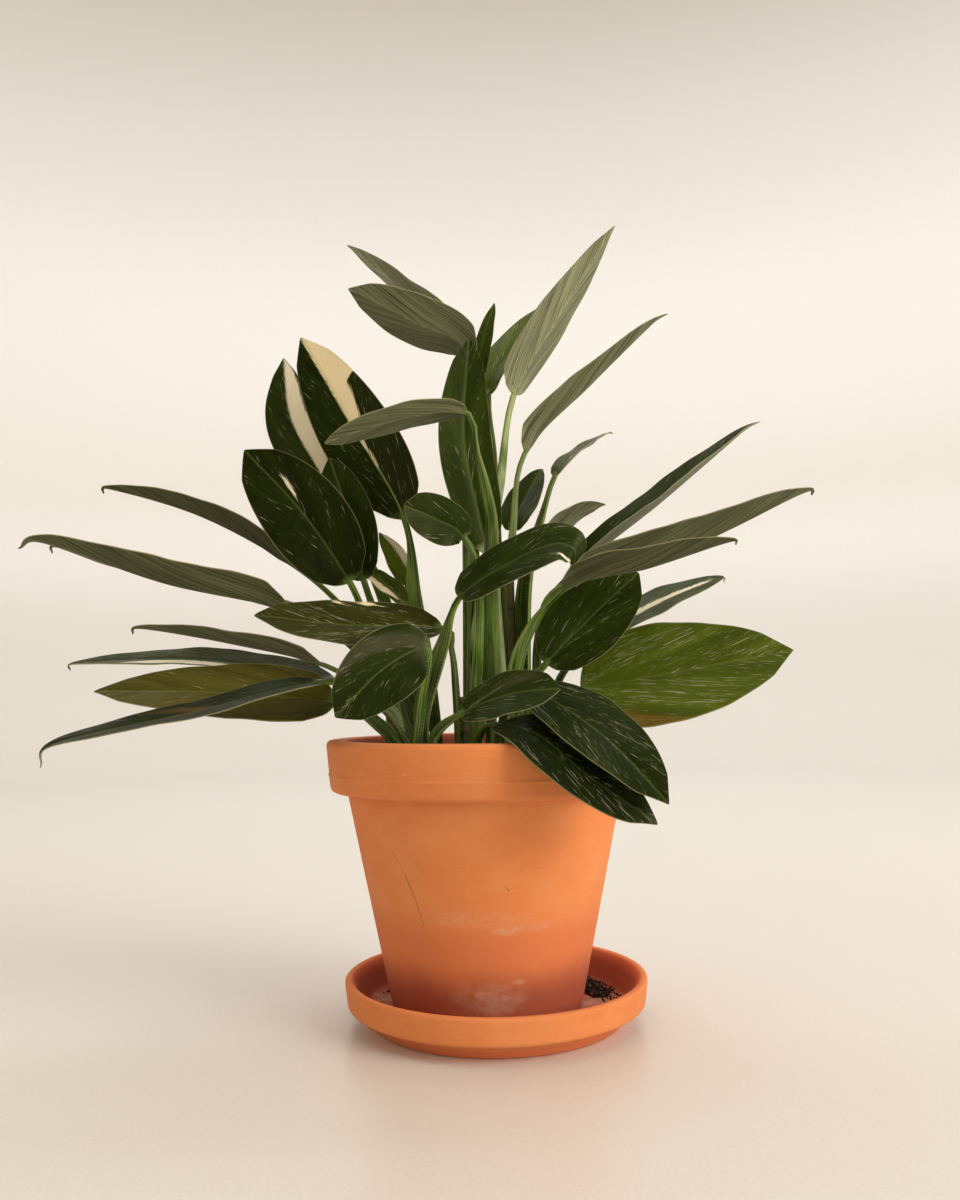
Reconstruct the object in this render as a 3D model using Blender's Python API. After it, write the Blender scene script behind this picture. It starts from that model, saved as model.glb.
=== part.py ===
"""Potted climbing aroid: terracotta pot and saucer, potting soil, short stems and long-stalked leaves.

Built at real size in metres, +Z up. The origin is where the pot's axis meets the floor, under the saucer.
Each leaf is one grown piece, so its stalk and its blade are one closed solid, lofted along one curve.
"""

import math
import random

import bmesh
import bpy
from mathutils import Matrix, Vector

MM = 0.001
GAP = 0.3 * MM
UPRIGHT = Vector((0, 0, 1))
SHARP_ANGLE = math.radians(35)

# Pot, turned about the origin's Z axis
POT_SIDES = 40
POT_FLOOR_Z = 9.7 * MM
POT_BASE_R = 61.9 * MM
POT_BODY_R = 91.1 * MM
POT_EDGE = 1.5 * MM
POT_WALL = 9 * MM
POT_FLOOR = 10 * MM
DRAIN_R = 11 * MM
RIM_BOTTOM_Z = 147.3 * MM
RIM_TOP_Z = 180.7 * MM
RIM_LOW_R = 101.6 * MM
RIM_R = 105 * MM
RIM_LIP = 3 * MM
RIM_UNDERCUT = 0.5 * MM
RIDGE_Z = 158.5 * MM
RIDGE_FOOT_R = 102.8 * MM
RIDGE_HALF = 1.5 * MM
RIDGE_PROUD = 0.8 * MM

# Saucer, which stands a little to the right of the pot's axis
SAUCER_X = 5.8 * MM
SAUCER_R = 98.6 * MM
SAUCER_LOW_R = 96.5 * MM
SAUCER_TOP_Z = 27.7 * MM
SAUCER_BAND_Z = 11 * MM
SAUCER_STEP_R = 87 * MM
SAUCER_FOOT_R = 81.3 * MM
SAUCER_WELL_R = 84 * MM
SAUCER_WALL = 5.5 * MM
SAUCER_LIP = 2 * MM
SAUCER_EDGE = 1.5 * MM

# Potting soil, bumpy on its middle rings
SOIL_Z = 162 * MM
SOIL_RINGS = ((0.2, 0.0), (0.45, 1.6), (0.75, 1.6), (1.0, 0.0))
SOIL_SIDE_DROP = 1.6 * MM
SOIL_SEED = 7
ROOT_DEPTH = 20 * MM
HOLE_CLEAR = 0.45 * MM
HOLE_SIDES = 8

# Spilled soil in the saucer: a heap at the back right and crumbs at the back left
SPILL_EDGE = 0.8 * MM
SPILL_JAG = 1.2 * MM
SPILL_END = 0.12
SPILL_ROUND = 0.6
SPILL_LOWEST = 0.4
SPILLS = {
    "spilled_soil": dict(angles=(2, 50), radii=(66, 83), height=4.5, grid=(14, 4), seed=3),
    "spilled_crumbs": dict(angles=(140, 162), radii=(66, 73), height=1.6, grid=(7, 2), seed=5),
}

# Short stems among the stalks, thicker at each joint
STEM_SIDES = 10
STEM_JOINTS = 3
STEM_COLLAR = 2 * MM
STEM_JOINT_HALF = 4 * MM
STEM_END = 3 * MM
STEM_SCALES = dict(root=0.9, slim=0.82, joint=1.0, neck=0.75, end=0.4)
STEMS = {
    "stem_centre": dict(root=(-12, -20), radius=4.0, height=46, lean=(-2, 0)),
    "stem_right": dict(root=(20, 1), radius=3.0, height=140, lean=(0, 2)),
}

# Leaf curve and sections: five points across the top face and the same five below
SPINE_STEPS = 12
COLLAR_UP = 3 * MM
ACROSS = (-1.0, -0.5, 0.0, 0.5, 1.0)
STALK_STEPS = (0.0, 0.25, 0.5, 0.75)
BLADE_STEPS = (0.0, 0.05, 0.14, 0.27, 0.42, 0.58, 0.73, 0.86, 0.95, 1.0)

# Leaf stalks: a round foot, and a sheath on either side that swells and dies out below the blade
STALK_HALF = 2.9 * MM
STALK_THICK = 4.6 * MM
STALK_EDGE = 1.4 * MM
SHEATH_EDGE = 1.0 * MM
SHEATH_END = 0.9
SHEATH_CUP = 0.45
PLAIN_WING = 3.2

# Leaf blades: half widths, thicknesses, and the shares of the blade over which each form fades in or out
NECK_HALF = 2.2 * MM
NECK_THICK = 3.4 * MM
TIP_HALF = 0.6 * MM
RIB_THICK = 1.9 * MM
RIB_THINS = 1.0 * MM
RIB_FADE = 0.14
BLADE_EDGE = 0.7 * MM
BLADE_TOP = 0.35 * MM
FLAT_FADE = 0.05
FOLD_FADE = 0.1
FOLD_LOSS = 0.4
LOBE_BACK = 7 * MM
LOBE_END = 0.2
WAVE_HEIGHT = 1.2 * MM
WAVES = 2.5
WAVE_SHIFT = 2.4
PLAIN_SHAPE = (0.5, 0.8)

# Leaves, in millimetres: the root, points up the stalk, then points from the blade's base to its tip
LEAVES = {
    "leaf_top_right": dict(root=(17, -8), stalk=[(9, -9, 300), (15, -13, 357)],
        blade=[(24, -16, 412), (56, -36, 463), (89, -58, 510)],
        width=32, face=(-0.6, 0.75, 0.55), fold=18, wing=6, shape=(0.4, 0.9)),
    "leaf_top_right_back": dict(root=(14, 10), stalk=[(12, 12, 302), (10, 13, 374)],
        blade=[(7, 16, 422), (22, 34, 459), (54, 58, 506)],
        width=30, face=(-0.5, -0.8, 0.3), fold=20, wing=4),
    "leaf_top_small": dict(root=(6, 4), stalk=[(6, 3, 301), (7, 2, 378)],
        blade=[(0, 0, 430), (4, -2, 457), (12, -4, 481)],
        width=12, face=(0.4, -0.9, 0), fold=20, wing=3.5),
    "leaf_top_left": dict(root=(-10, 2), stalk=[(-6, 2, 301), (-9, 3, 379)],
        blade=[(-7, 4, 448), (-45, -12, 466), (-87, -26, 484)],
        width=40, face=(0.35, 0.7, 0.6), fold=10, wing=5, shape=(0.5, 0.7)),
    "leaf_top_left_back": dict(root=(-12, 14), stalk=[(-11, 14, 303), (-12, 17, 389)],
        blade=[(-13, 20, 462), (-53, 34, 506), (-97, 50, 550)],
        width=24, face=(0.5, 0.35, 0.85), fold=12, wing=4),
    "leaf_centre_tall": dict(root=(-4, -10), stalk=[(-3, -13, 245)],
        blade=[(3, -14, 304), (-10, -18, 380), (-6, -10, 454)],
        width=36, face=(0.1, -1, 0.1), fold=22, wing=6, shape=(0.5, 0.6)),
    "leaf_centre_cross": dict(root=(4, -26), stalk=[(3, -29, 271), (5, -31, 323), (-2, -33, 366)],
        blade=[(-9, -35, 394), (-52, -48, 387), (-98, -60, 369)],
        width=25, face=(0, 0.5, 0.85), fold=5, wing=8, shape=(0.5, 0.5)),
    "leaf_cream_half": dict(root=(-44, 34), stalk=[(-70, 40, 278)],
        blade=[(-111, 50, 362), (-142, 64, 419), (-151, 76, 472)],
        width=42, face=(-0.2, -0.95, 0.25), fold=10, wing=5),
    "leaf_cream_tip": dict(root=(-30, 18), stalk=[(-46, 18, 269)],
        blade=[(-54, 20, 334), (-93, 30, 406), (-131, 38, 474)],
        width=54, face=(-0.15, -0.9, 0.35), fold=10, wing=7, shape=(0.5, 0.7)),
    "leaf_left_large": dict(root=(-44, -6), stalk=[(-74, -4, 247)],
        blade=[(-89, -7, 286), (-120, -14, 333), (-157, -24, 374)],
        width=56, face=(-0.2, -0.85, 0.45), fold=10, wing=5, shape=(0.5, 0.62)),
    "leaf_left_shaded": dict(root=(-34, 0), stalk=[(-63, 3, 240)],
        blade=[(-81, 5, 289), (-90, 6, 331), (-105, 8, 376)],
        width=34, face=(-0.1, -0.9, 0.4), fold=14, wing=5, shape=(0.5, 0.6)),
    "leaf_inner_left": dict(root=(-40, 27), stalk=[(-50, 30, 249)],
        blade=[(-53, 32, 289), (-61, 32, 309), (-73, 31, 326)],
        width=16, face=(-0.3, -0.9, 0.3), fold=10),
    "leaf_inner_low": dict(root=(-47, 11), stalk=[(-53, 10, 248)],
        blade=[(-55, 12, 274), (-69, 15, 289), (-86, 16, 299)],
        width=14, face=(0, -0.6, 0.8), fold=10),
    "leaf_centre_small": dict(root=(-8, -32), stalk=[(-2, -37, 276)],
        blade=[(-11, -41, 310), (-29, -56, 320), (-47, -70, 326)],
        width=30, face=(0, -0.85, 0.5), fold=10, wing=4, shape=(0.45, 0.45)),
    "leaf_centre_curved": dict(root=(-34, -46), stalk=[(-37, -49, 194), (-24, -51, 239)],
        blade=[(-14, -52, 270), (18, -58, 291), (45, -62, 302), (58, -62, 298), (58, -56, 290)],
        width=34, face=(-0.3, -0.75, 0.6), fold=8, wing=8, shape=(0.3, 0.25)),
    "leaf_left_level": dict(root=(-16, -28), stalk=[(-18, -30, 212), (-20, -33, 238)],
        blade=[(-26, -38, 252), (-86, -52, 254), (-140, -66, 260)],
        width=38, face=(-0.05, -0.75, 0.65), fold=8, wing=5, shape=(0.5, 0.6)),
    "leaf_left_hanging": dict(root=(-43, -57), stalk=[(-38, -62, 206)],
        blade=[(-34, -65, 237), (-59, -76, 226), (-87, -88, 197)],
        width=44, face=(-0.3, -0.75, 0.6), fold=8, wing=4, shape=(0.45, 0.6)),
    "leaf_left_high": dict(root=(-56, 21), stalk=[(-64, 24, 220), (-97, 28, 270)],
        blade=[(-138, 36, 306), (-208, 54, 345), (-280, 70, 369), (-287, 72, 366)],
        width=26, face=(0.35, 0.35, 0.9), fold=8, wing=5),
    "leaf_left_hooked": dict(root=(-60, -9), stalk=[(-60, -14, 207), (-91, -18, 246)],
        blade=[(-127, -24, 267), (-204, -38, 284), (-276, -52, 309), (-292, -54, 305)],
        width=36, face=(0.1, 0.45, 0.9), fold=12, wing=5, shape=(0.4, 0.8)),
    "leaf_left_hooked_back": dict(root=(-58, 4), stalk=[(-67, 6, 220), (-98, 8, 254)],
        blade=[(-136, 12, 275), (-219, 20, 295), (-299, 28, 318), (-306, 28, 314)],
        width=22, face=(0.1, 0.3, 1), fold=8, wing=4),
    "leaf_left_thin": dict(root=(-67, 11), stalk=[(-68, 13, 203)],
        blade=[(-112, 22, 232), (-180, 36, 249), (-247, 48, 261), (-255, 50, 257)],
        width=24, face=(0.1, 0.2, 1), fold=6, wing=4),
    "leaf_left_striped": dict(root=(-53, -20), stalk=[(-59, -26, 199)],
        blade=[(-97, -24, 220), (-188, -14, 235), (-267, -14, 234), (-274, -14, 229)],
        width=38, face=(0, -0.35, 1), fold=8, wing=5),
    "leaf_left_olive": dict(root=(-46, -32), stalk=[(-66, -42, 189)],
        blade=[(-93, -50, 205), (-171, -52, 213), (-244, -50, 215)],
        width=48, face=(0, -0.7, 0.7), fold=8, wing=6, shape=(0.35, 0.75)),
    "leaf_left_trailing": dict(root=(-42, -44), stalk=[(-61, -58, 200)],
        blade=[(-96, -72, 218), (-171, -92, 201), (-244, -104, 185), (-253, -104, 171)],
        width=25, face=(0, -0.4, 0.95), fold=8, wing=4),
    "leaf_right_slender": dict(root=(24, 12), stalk=[(20, 11, 260), (23, 8, 323)],
        blade=[(32, 4, 377), (78, -8, 422), (127, -20, 467)],
        width=28, face=(-0.65, 0.35, 0.65), fold=10, wing=6, shape=(0.35, 0.9)),
    "leaf_right_twisted": dict(root=(29, -4), stalk=[(31, -3, 273), (40, -4, 320)],
        blade=[(52, -4, 359), (73, 10, 381), (95, 26, 397)],
        width=22, face=(-0.5, -0.4, 0.8), fold=8, wing=9),
    "leaf_right_behind": dict(root=(20, 22), stalk=[(19, 26, 276)],
        blade=[(23, 34, 327), (34, 48, 355), (47, 60, 379)],
        width=26, face=(-0.3, -0.9, 0.2), fold=12, wing=6),
    "leaf_right_short": dict(root=(30, 22), stalk=[(30, 23, 268)],
        blade=[(42, 28, 311), (65, 40, 336), (91, 50, 349)],
        width=22, face=(-0.3, 0.45, 0.9), fold=8, wing=4),
    "leaf_right_spear": dict(root=(38, 12), stalk=[(40, 12, 253)],
        blade=[(62, 15, 292), (130, 28, 346), (205, 42, 409)],
        width=32, face=(-0.5, -0.35, 0.8), fold=8, wing=5),
    "leaf_right_long": dict(root=(38, 2), stalk=[(39, -2, 248)],
        blade=[(56, -6, 283), (141, -10, 307), (216, -14, 341), (224, -14, 340)],
        width=38, face=(-0.2, 0.4, 0.9), fold=8, wing=5),
    "leaf_right_blunt": dict(root=(26, -28), stalk=[(24, -34, 228)],
        blade=[(52, -41, 275), (105, -58, 287), (151, -72, 300), (156, -74, 298)],
        width=32, face=(-0.2, 0.35, 0.95), fold=6, wing=8),
    "leaf_right_paired": dict(root=(42, 24), stalk=[(54, 24, 219)],
        blade=[(86, 30, 250), (130, 46, 275), (176, 60, 293), (181, 62, 290)],
        width=34, face=(-0.2, -0.5, 0.85), fold=8, wing=4),
    "leaf_right_large": dict(root=(44, -8), stalk=[(46, -4, 201)],
        blade=[(66, -4, 211), (144, -12, 225), (205, -18, 236)],
        width=76, face=(0.05, -0.85, 0.5), fold=6, wing=6, shape=(0.4, 0.72)),
    "leaf_right_shaded": dict(root=(34, -18), stalk=[(31, -17, 212)],
        blade=[(42, -15, 229), (72, -15, 259), (105, -15, 289)],
        width=50, face=(0.1, -0.85, 0.45), fold=10, wing=6, shape=(0.5, 0.6)),
    "leaf_front_level": dict(root=(-32, -60), stalk=[(-29, -68, 184)],
        blade=[(-13, -76, 198), (16, -90, 209), (44, -100, 212)],
        width=32, face=(0, -0.75, 0.7), fold=8, wing=5, shape=(0.5, 0.5)),
    "leaf_front_right": dict(root=(6, -42), stalk=[(14, -51, 198)],
        blade=[(26, -60, 213), (68, -97, 185), (101, -122, 148)],
        width=48, face=(0.3, -0.7, 0.65), fold=8, wing=5, shape=(0.6, 0.7)),
    "leaf_front_under": dict(root=(-8, -54), stalk=[(-1, -62, 186)],
        blade=[(7, -70, 191), (30, -95, 186), (59, -111, 162), (96, -114, 136)],
        width=44, face=(0.1, -0.55, 0.85), fold=6, wing=5, shape=(0.7, 0.7)),
}


def clear_scene():
    for thing in list(bpy.data.objects):
        bpy.data.objects.remove(thing, do_unlink=True)


def make_material(name, colour, roughness):
    material = bpy.data.materials.new(name)
    material.use_nodes = True
    shader = material.node_tree.nodes["Principled BSDF"]
    shader.inputs["Base Color"].default_value = (*colour, 1.0)
    shader.inputs["Roughness"].default_value = roughness
    return material


def make_object(name, mesh, material):
    mesh.shade_smooth()
    mesh.set_sharp_from_angle(angle=SHARP_ANGLE)
    mesh.materials.append(material)
    thing = bpy.data.objects.new(name, mesh)
    bpy.context.scene.collection.objects.link(thing)
    return thing


def circle(radius, z, sides=POT_SIDES, centre=(0.0, 0.0)):
    """Points of one level ring."""
    angles = [2 * math.pi * i / sides for i in range(sides)]
    x, y = centre
    return [Vector((x + radius * math.cos(a), y + radius * math.sin(a), z)) for a in angles]


def solid_from_rings(name, rings, material, looped=False):
    """One closed solid skinned over rings of points, with its ends capped, or joined when looped."""
    bm = bmesh.new()
    rows = [[bm.verts.new(point) for point in ring] for ring in rings]
    pairs = list(zip(rows, rows[1:]))
    if looped:
        pairs.append((rows[-1], rows[0]))
    else:
        bm.faces.new(rows[0])
        bm.faces.new(rows[-1])
    for row, after in pairs:
        for i, corner in enumerate(row):
            k = (i + 1) % len(row)
            bm.faces.new((corner, row[k], after[k], after[i]))
    bmesh.ops.recalc_face_normals(bm, faces=bm.faces)
    mesh = bpy.data.meshes.new(name)
    bm.to_mesh(mesh)
    bm.free()
    return make_object(name, mesh, material)


def inner_radius(z):
    """The pot's inner wall at a height, a wall's thickness inside the body's taper."""
    taper = (POT_BODY_R - POT_BASE_R) / (RIM_BOTTOM_Z - POT_FLOOR_Z)
    return POT_BASE_R + taper * (z - POT_FLOOR_Z) - POT_WALL


def make_pot(material):
    floor_z = POT_FLOOR_Z + POT_FLOOR
    profile = [
        (DRAIN_R, POT_FLOOR_Z),
        (POT_BASE_R - POT_EDGE, POT_FLOOR_Z),
        (POT_BASE_R, POT_FLOOR_Z + POT_EDGE),
        (POT_BODY_R, RIM_BOTTOM_Z),
        (RIM_LOW_R - RIM_LIP, RIM_BOTTOM_Z + RIM_UNDERCUT),
        (RIM_LOW_R, RIM_BOTTOM_Z + RIM_LIP),
        (RIDGE_FOOT_R, RIDGE_Z - RIDGE_HALF),
        (RIDGE_FOOT_R + RIDGE_PROUD, RIDGE_Z),
        (RIM_R, RIM_TOP_Z - RIM_LIP),
        (RIM_R - RIM_LIP, RIM_TOP_Z),
        (inner_radius(RIM_TOP_Z) + RIM_LIP, RIM_TOP_Z),
        (inner_radius(RIM_TOP_Z), RIM_TOP_Z - RIM_LIP),
        (inner_radius(floor_z), floor_z),
        (DRAIN_R, floor_z),
    ]
    return solid_from_rings("pot", [circle(r, z) for r, z in profile], material, looped=True)


def make_saucer(material):
    inner = SAUCER_R - SAUCER_WALL
    profile = [
        (SAUCER_FOOT_R - SAUCER_EDGE, 0.0),
        (SAUCER_FOOT_R, SAUCER_EDGE),
        (SAUCER_STEP_R, SAUCER_BAND_Z - SAUCER_LIP),
        (SAUCER_LOW_R - SAUCER_LIP, SAUCER_BAND_Z),
        (SAUCER_LOW_R, SAUCER_BAND_Z + SAUCER_LIP),
        (SAUCER_R, SAUCER_TOP_Z - SAUCER_LIP),
        (SAUCER_R - SAUCER_LIP, SAUCER_TOP_Z),
        (inner + SAUCER_LIP, SAUCER_TOP_Z),
        (inner, SAUCER_TOP_Z - SAUCER_LIP),
        (SAUCER_WELL_R, POT_FLOOR_Z - GAP),
    ]
    rings = [circle(r, z, centre=(SAUCER_X, 0.0)) for r, z in profile]
    return solid_from_rings("saucer", rings, material)


def make_soil(leaves, stems, material):
    """The plug of potting soil, its bumpy top and a plain hole for each stalk and stem."""
    random.seed(SOIL_SEED)
    top_r = inner_radius(SOIL_Z) - GAP
    rings = []
    for share, bump in SOIL_RINGS:
        rings.append(circle(top_r * share, SOIL_Z))
        for point in rings[-1]:
            point.z += bump * MM * random.uniform(-1, 1)
    for point in rings[-1]:
        point.z -= SOIL_SIDE_DROP
    low_z = POT_FLOOR_Z + POT_FLOOR + GAP
    rings.append(circle(inner_radius(low_z) - GAP, low_z))
    soil = solid_from_rings("soil", rings, material)
    cut = soil.modifiers.new("root holes", "BOOLEAN")
    cut.operation = "DIFFERENCE"
    cut.object = make_root_holes(leaves, stems)
    return soil


def make_root_holes(leaves, stems):
    """Plain upright prisms in one mesh, which cut the soil where stalks and stems stand in it."""
    bm = bmesh.new()
    round_up = 1 / math.cos(math.pi / HOLE_SIDES)
    holes = [(spec["root"], STALK_HALF) for spec in leaves.values()]
    holes += [(spec["root"], spec["radius"] * MM) for spec in stems.values()]
    for (x, y), radius in holes:
        wide = (radius + HOLE_CLEAR) * round_up
        place = Matrix.Translation((x * MM, y * MM, SOIL_Z))
        bmesh.ops.create_cone(bm, cap_ends=True, segments=HOLE_SIDES, radius1=wide, radius2=wide,
                              depth=2 * (ROOT_DEPTH + GAP), matrix=place)
    mesh = bpy.data.meshes.new("root_holes")
    bm.to_mesh(mesh)
    bm.free()
    cutter = bpy.data.objects.new("root_holes", mesh)
    bpy.context.scene.collection.objects.link(cutter)
    cutter.hide_render = True
    cutter.display_type = "WIRE"
    return cutter


def make_spill(name, spec, material):
    """A low heap of loose soil on the saucer's floor, bumpy on top and flat below."""
    random.seed(spec["seed"])
    start, end = (math.radians(a) for a in spec["angles"])
    inner, outer = (r * MM for r in spec["radii"])
    along, out = spec["grid"]
    rings = []
    for i in range(along + 1):
        u = i / along
        angle = start + (end - start) * u
        narrow = math.sqrt(math.sin(math.pi * (SPILL_END + (1 - 2 * SPILL_END) * u)))
        top = []
        for j in range(out + 1):
            v = j / out
            inside = max(0.0, math.sin(math.pi * u) * math.sin(math.pi * v))
            r = (inner + outer) / 2 + (outer - inner) * (v - 0.5) * narrow
            r += SPILL_JAG * random.uniform(-1, 1) * (1 - inside)
            lump = random.uniform(SPILL_LOWEST, 1) * inside**SPILL_ROUND
            height = SPILL_EDGE + spec["height"] * MM * lump
            top.append(Vector((r * math.cos(angle), r * math.sin(angle), POT_FLOOR_Z + height)))
        base = [Vector((point.x, point.y, POT_FLOOR_Z)) for point in reversed(top)]
        rings.append(top + base)
    return solid_from_rings(name, rings, material)


def make_stem(name, spec, material):
    """A short stem, a little thicker at each joint ring, standing in its hole."""
    height = spec["height"] * MM
    sizes = STEM_SCALES
    levels = [(-ROOT_DEPTH, sizes["root"]), (STEM_COLLAR, sizes["root"])]
    for i in range(STEM_JOINTS):
        joint = height * (i + 1) / (STEM_JOINTS + 1)
        levels.append((joint - STEM_JOINT_HALF, sizes["slim"]))
        levels.append((joint, sizes["joint"]))
        levels.append((joint + STEM_JOINT_HALF, sizes["slim"]))
    levels += [(height - STEM_END, sizes["neck"]), (height, sizes["end"])]
    rings = []
    for up, scale in levels:
        bent = (max(0.0, up) / height) ** 2
        centre = [(foot + lean * bent) * MM for foot, lean in zip(spec["root"], spec["lean"])]
        rings.append(circle(spec["radius"] * MM * scale, SOIL_Z + up, STEM_SIDES, centre))
    return solid_from_rings(name, rings, material)


def smooth_path(points):
    """A smooth curve through the points (Catmull-Rom), as close samples and the length up to each one."""
    ends = [points[0] * 2 - points[1]] + points + [points[-1] * 2 - points[-2]]
    samples = [points[0]]
    lengths = [0.0]
    for a, b, c, d in zip(ends, ends[1:], ends[2:], ends[3:]):
        for i in range(1, SPINE_STEPS + 1):
            t = i / SPINE_STEPS
            square = (2 * a - 5 * b + 4 * c - d) * t**2
            cube = (3 * b - a - 3 * c + d) * t**3
            place = (2 * b + (c - a) * t + square + cube) / 2
            lengths.append(lengths[-1] + (place - samples[-1]).length)
            samples.append(place)
    return samples, lengths


def path_at(samples, lengths, length):
    """The place and the direction of a path at a length along it."""
    length = min(max(length, 0.0), lengths[-1])
    i = next((n for n, end in enumerate(lengths[1:]) if end >= length), len(lengths) - 2)
    share = (length - lengths[i]) / (lengths[i + 1] - lengths[i])
    return samples[i].lerp(samples[i + 1], share), (samples[i + 1] - samples[i]).normalized()


def leaf_curve(spec):
    """The curve a leaf is lofted along, and the length up to the base of its blade."""
    collar = Vector((*spec["root"], 0)) * MM + UPRIGHT * (SOIL_Z + COLLAR_UP)
    stalk = [Vector(point) * MM for point in spec["stalk"]]
    blade = [Vector(point) * MM for point in spec["blade"]]
    samples, lengths = smooth_path([collar] + stalk + blade)
    return samples, lengths, lengths[SPINE_STEPS * (1 + len(stalk))]


def blade_outline(t, fore, aft):
    """Share of a blade's greatest half width, from a rounded base to a tapering tip."""
    if not 0 < t < 1:
        return 0.0
    peak = fore / (fore + aft)
    return (t / peak) ** fore * ((1 - t) / (1 - peak)) ** aft


def blade_sections(spec, curve, phase):
    """Sections from the blade's base to its tip, the face carried along the curve without a twist."""
    samples, lengths, neck = curve
    up = Vector(spec["face"])
    fold = math.radians(spec["fold"])
    fore, aft = spec.get("shape", PLAIN_SHAPE)
    sections = []
    for t in BLADE_STEPS:
        place, ahead = path_at(samples, lengths, neck + (lengths[-1] - neck) * t)
        across = ahead.cross(up).normalized()
        up = across.cross(ahead).normalized()
        flat = min(1.0, t / FLAT_FADE)
        half = TIP_HALF + (NECK_HALF - TIP_HALF) * (1 - t)
        half += (spec["width"] * MM / 2 - NECK_HALF / 2) * blade_outline(t, fore, aft)
        thick = RIB_THICK + (NECK_THICK - RIB_THICK) * max(0.0, 1 - t / RIB_FADE) - RIB_THINS * t
        wave = WAVE_HEIGHT * math.sin(math.pi * t) * math.sin(2 * math.pi * WAVES * t + phase)
        sections.append(dict(
            place=place, across=across, up=up, ahead=ahead,
            half=half, thick=thick, edge=BLADE_EDGE, flat=flat,
            fold=fold * min(1.0, t / FOLD_FADE) * (1 - FOLD_LOSS * t),
            sweep=LOBE_BACK * max(0.0, 1 - t / LOBE_END) ** 2 * flat, lift=wave))
    return sections


def stalk_sections(spec, curve, across):
    """Sections up the stalk, from the foot in the soil to just below the blade."""
    samples, lengths, neck = curve
    wing = spec.get("wing", PLAIN_WING) * MM - STALK_HALF
    sections = []
    for s in reversed(STALK_STEPS):
        place, ahead = path_at(samples, lengths, neck * s)
        if s == 0:
            ahead = UPRIGHT
        across = (across - ahead * across.dot(ahead)).normalized()
        swell = math.sin(math.pi * s / SHEATH_END) if s < SHEATH_END else 0.0
        sections.append(dict(
            place=place, across=across, up=across.cross(ahead).normalized(), ahead=ahead,
            half=STALK_HALF + (NECK_HALF - STALK_HALF) * s + wing * swell,
            thick=STALK_THICK + (NECK_THICK - STALK_THICK) * s,
            edge=STALK_EDGE + (SHEATH_EDGE - STALK_EDGE) * swell,
            flat=0.0, fold=0.0, sweep=0.0, lift=SHEATH_CUP * wing * swell))
    foot = Vector((*spec["root"], 0)) * MM + UPRIGHT * (SOIL_Z - ROOT_DEPTH)
    sections.append(dict(sections[-1], place=foot))
    return sections[::-1]


def section_points(section):
    """Ten points of one section: its top face from left to right, then its underside the same way."""
    top = []
    under = []
    for a in ACROSS:
        side = section["across"] * (a * section["half"] * math.cos(section["fold"]))
        lift = abs(a) * section["half"] * math.sin(section["fold"]) + section["lift"] * a * a
        back = section["ahead"] * (section["sweep"] * a * a)
        middle = section["place"] + side + section["up"] * lift - back
        round_share = 1 - a * a
        share = round_share + ((1 - abs(a)) ** 2 - round_share) * section["flat"]
        thick = section["edge"] + (section["thick"] - section["edge"]) * share
        above = thick / 2 + (BLADE_TOP - thick / 2) * section["flat"]
        top.append(middle + section["up"] * above)
        under.append(middle - section["up"] * (thick - above))
    return top + under


def split(a, b, c, d):
    """Two triangles of a four-cornered face, split from its first corner to its third."""
    return [(a, b, c), (a, c, d)]


def leaf_faces(count):
    """Triangles round a leaf's sections and over its ends, split alike above and below."""
    wide = len(ACROSS)
    step = 2 * wide
    last = step * (count - 1)
    faces = []
    for a in range(0, last, step):
        b = a + step
        for j in range(wide - 1):
            faces += split(a + j, a + j + 1, b + j + 1, b + j)
            faces += split(a + wide + j, b + wide + j, b + wide + j + 1, a + wide + j + 1)
        faces += split(a + wide, a, b, b + wide)
        faces += split(b + step - 1, b + wide - 1, a + wide - 1, a + step - 1)
    for j in range(wide - 1):
        faces += split(j, wide + j, wide + j + 1, j + 1)
        faces += split(last + j + 1, last + wide + j + 1, last + wide + j, last + j)
    return faces


def make_leaf(name, spec, material, phase):
    """One leaf, stalk and blade, as one closed solid."""
    curve = leaf_curve(spec)
    blade = blade_sections(spec, curve, phase)
    sections = stalk_sections(spec, curve, blade[0]["across"]) + blade
    points = [point for section in sections for point in section_points(section)]
    mesh = bpy.data.meshes.new(name)
    mesh.from_pydata(points, [], leaf_faces(len(sections)))
    return make_object(name, mesh, material)


def main():
    clear_scene()
    terracotta = make_material("terracotta", (0.60, 0.23, 0.09), 0.85)
    earth = make_material("potting_soil", (0.035, 0.022, 0.014), 0.95)
    green = make_material("leaf_green", (0.035, 0.085, 0.02), 0.38)
    stem_green = make_material("stem_green", (0.16, 0.24, 0.06), 0.5)
    make_pot(terracotta)
    make_saucer(terracotta)
    make_soil(LEAVES, STEMS, earth)
    for name, spec in SPILLS.items():
        make_spill(name, spec, earth)
    for name, spec in STEMS.items():
        make_stem(name, spec, stem_green)
    for i, (name, spec) in enumerate(LEAVES.items()):
        make_leaf(name, spec, green, WAVE_SHIFT * i)


main()
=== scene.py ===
# Potted philodendron: the looks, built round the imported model.
# Pot, saucer, soil and every leaf are rebuilt finer over their own CAD nodes, at the same places and sizes.
import math
from functools import partial

import bmesh
import bpy
import numpy as np
from mathutils import Matrix, Vector, noise


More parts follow.
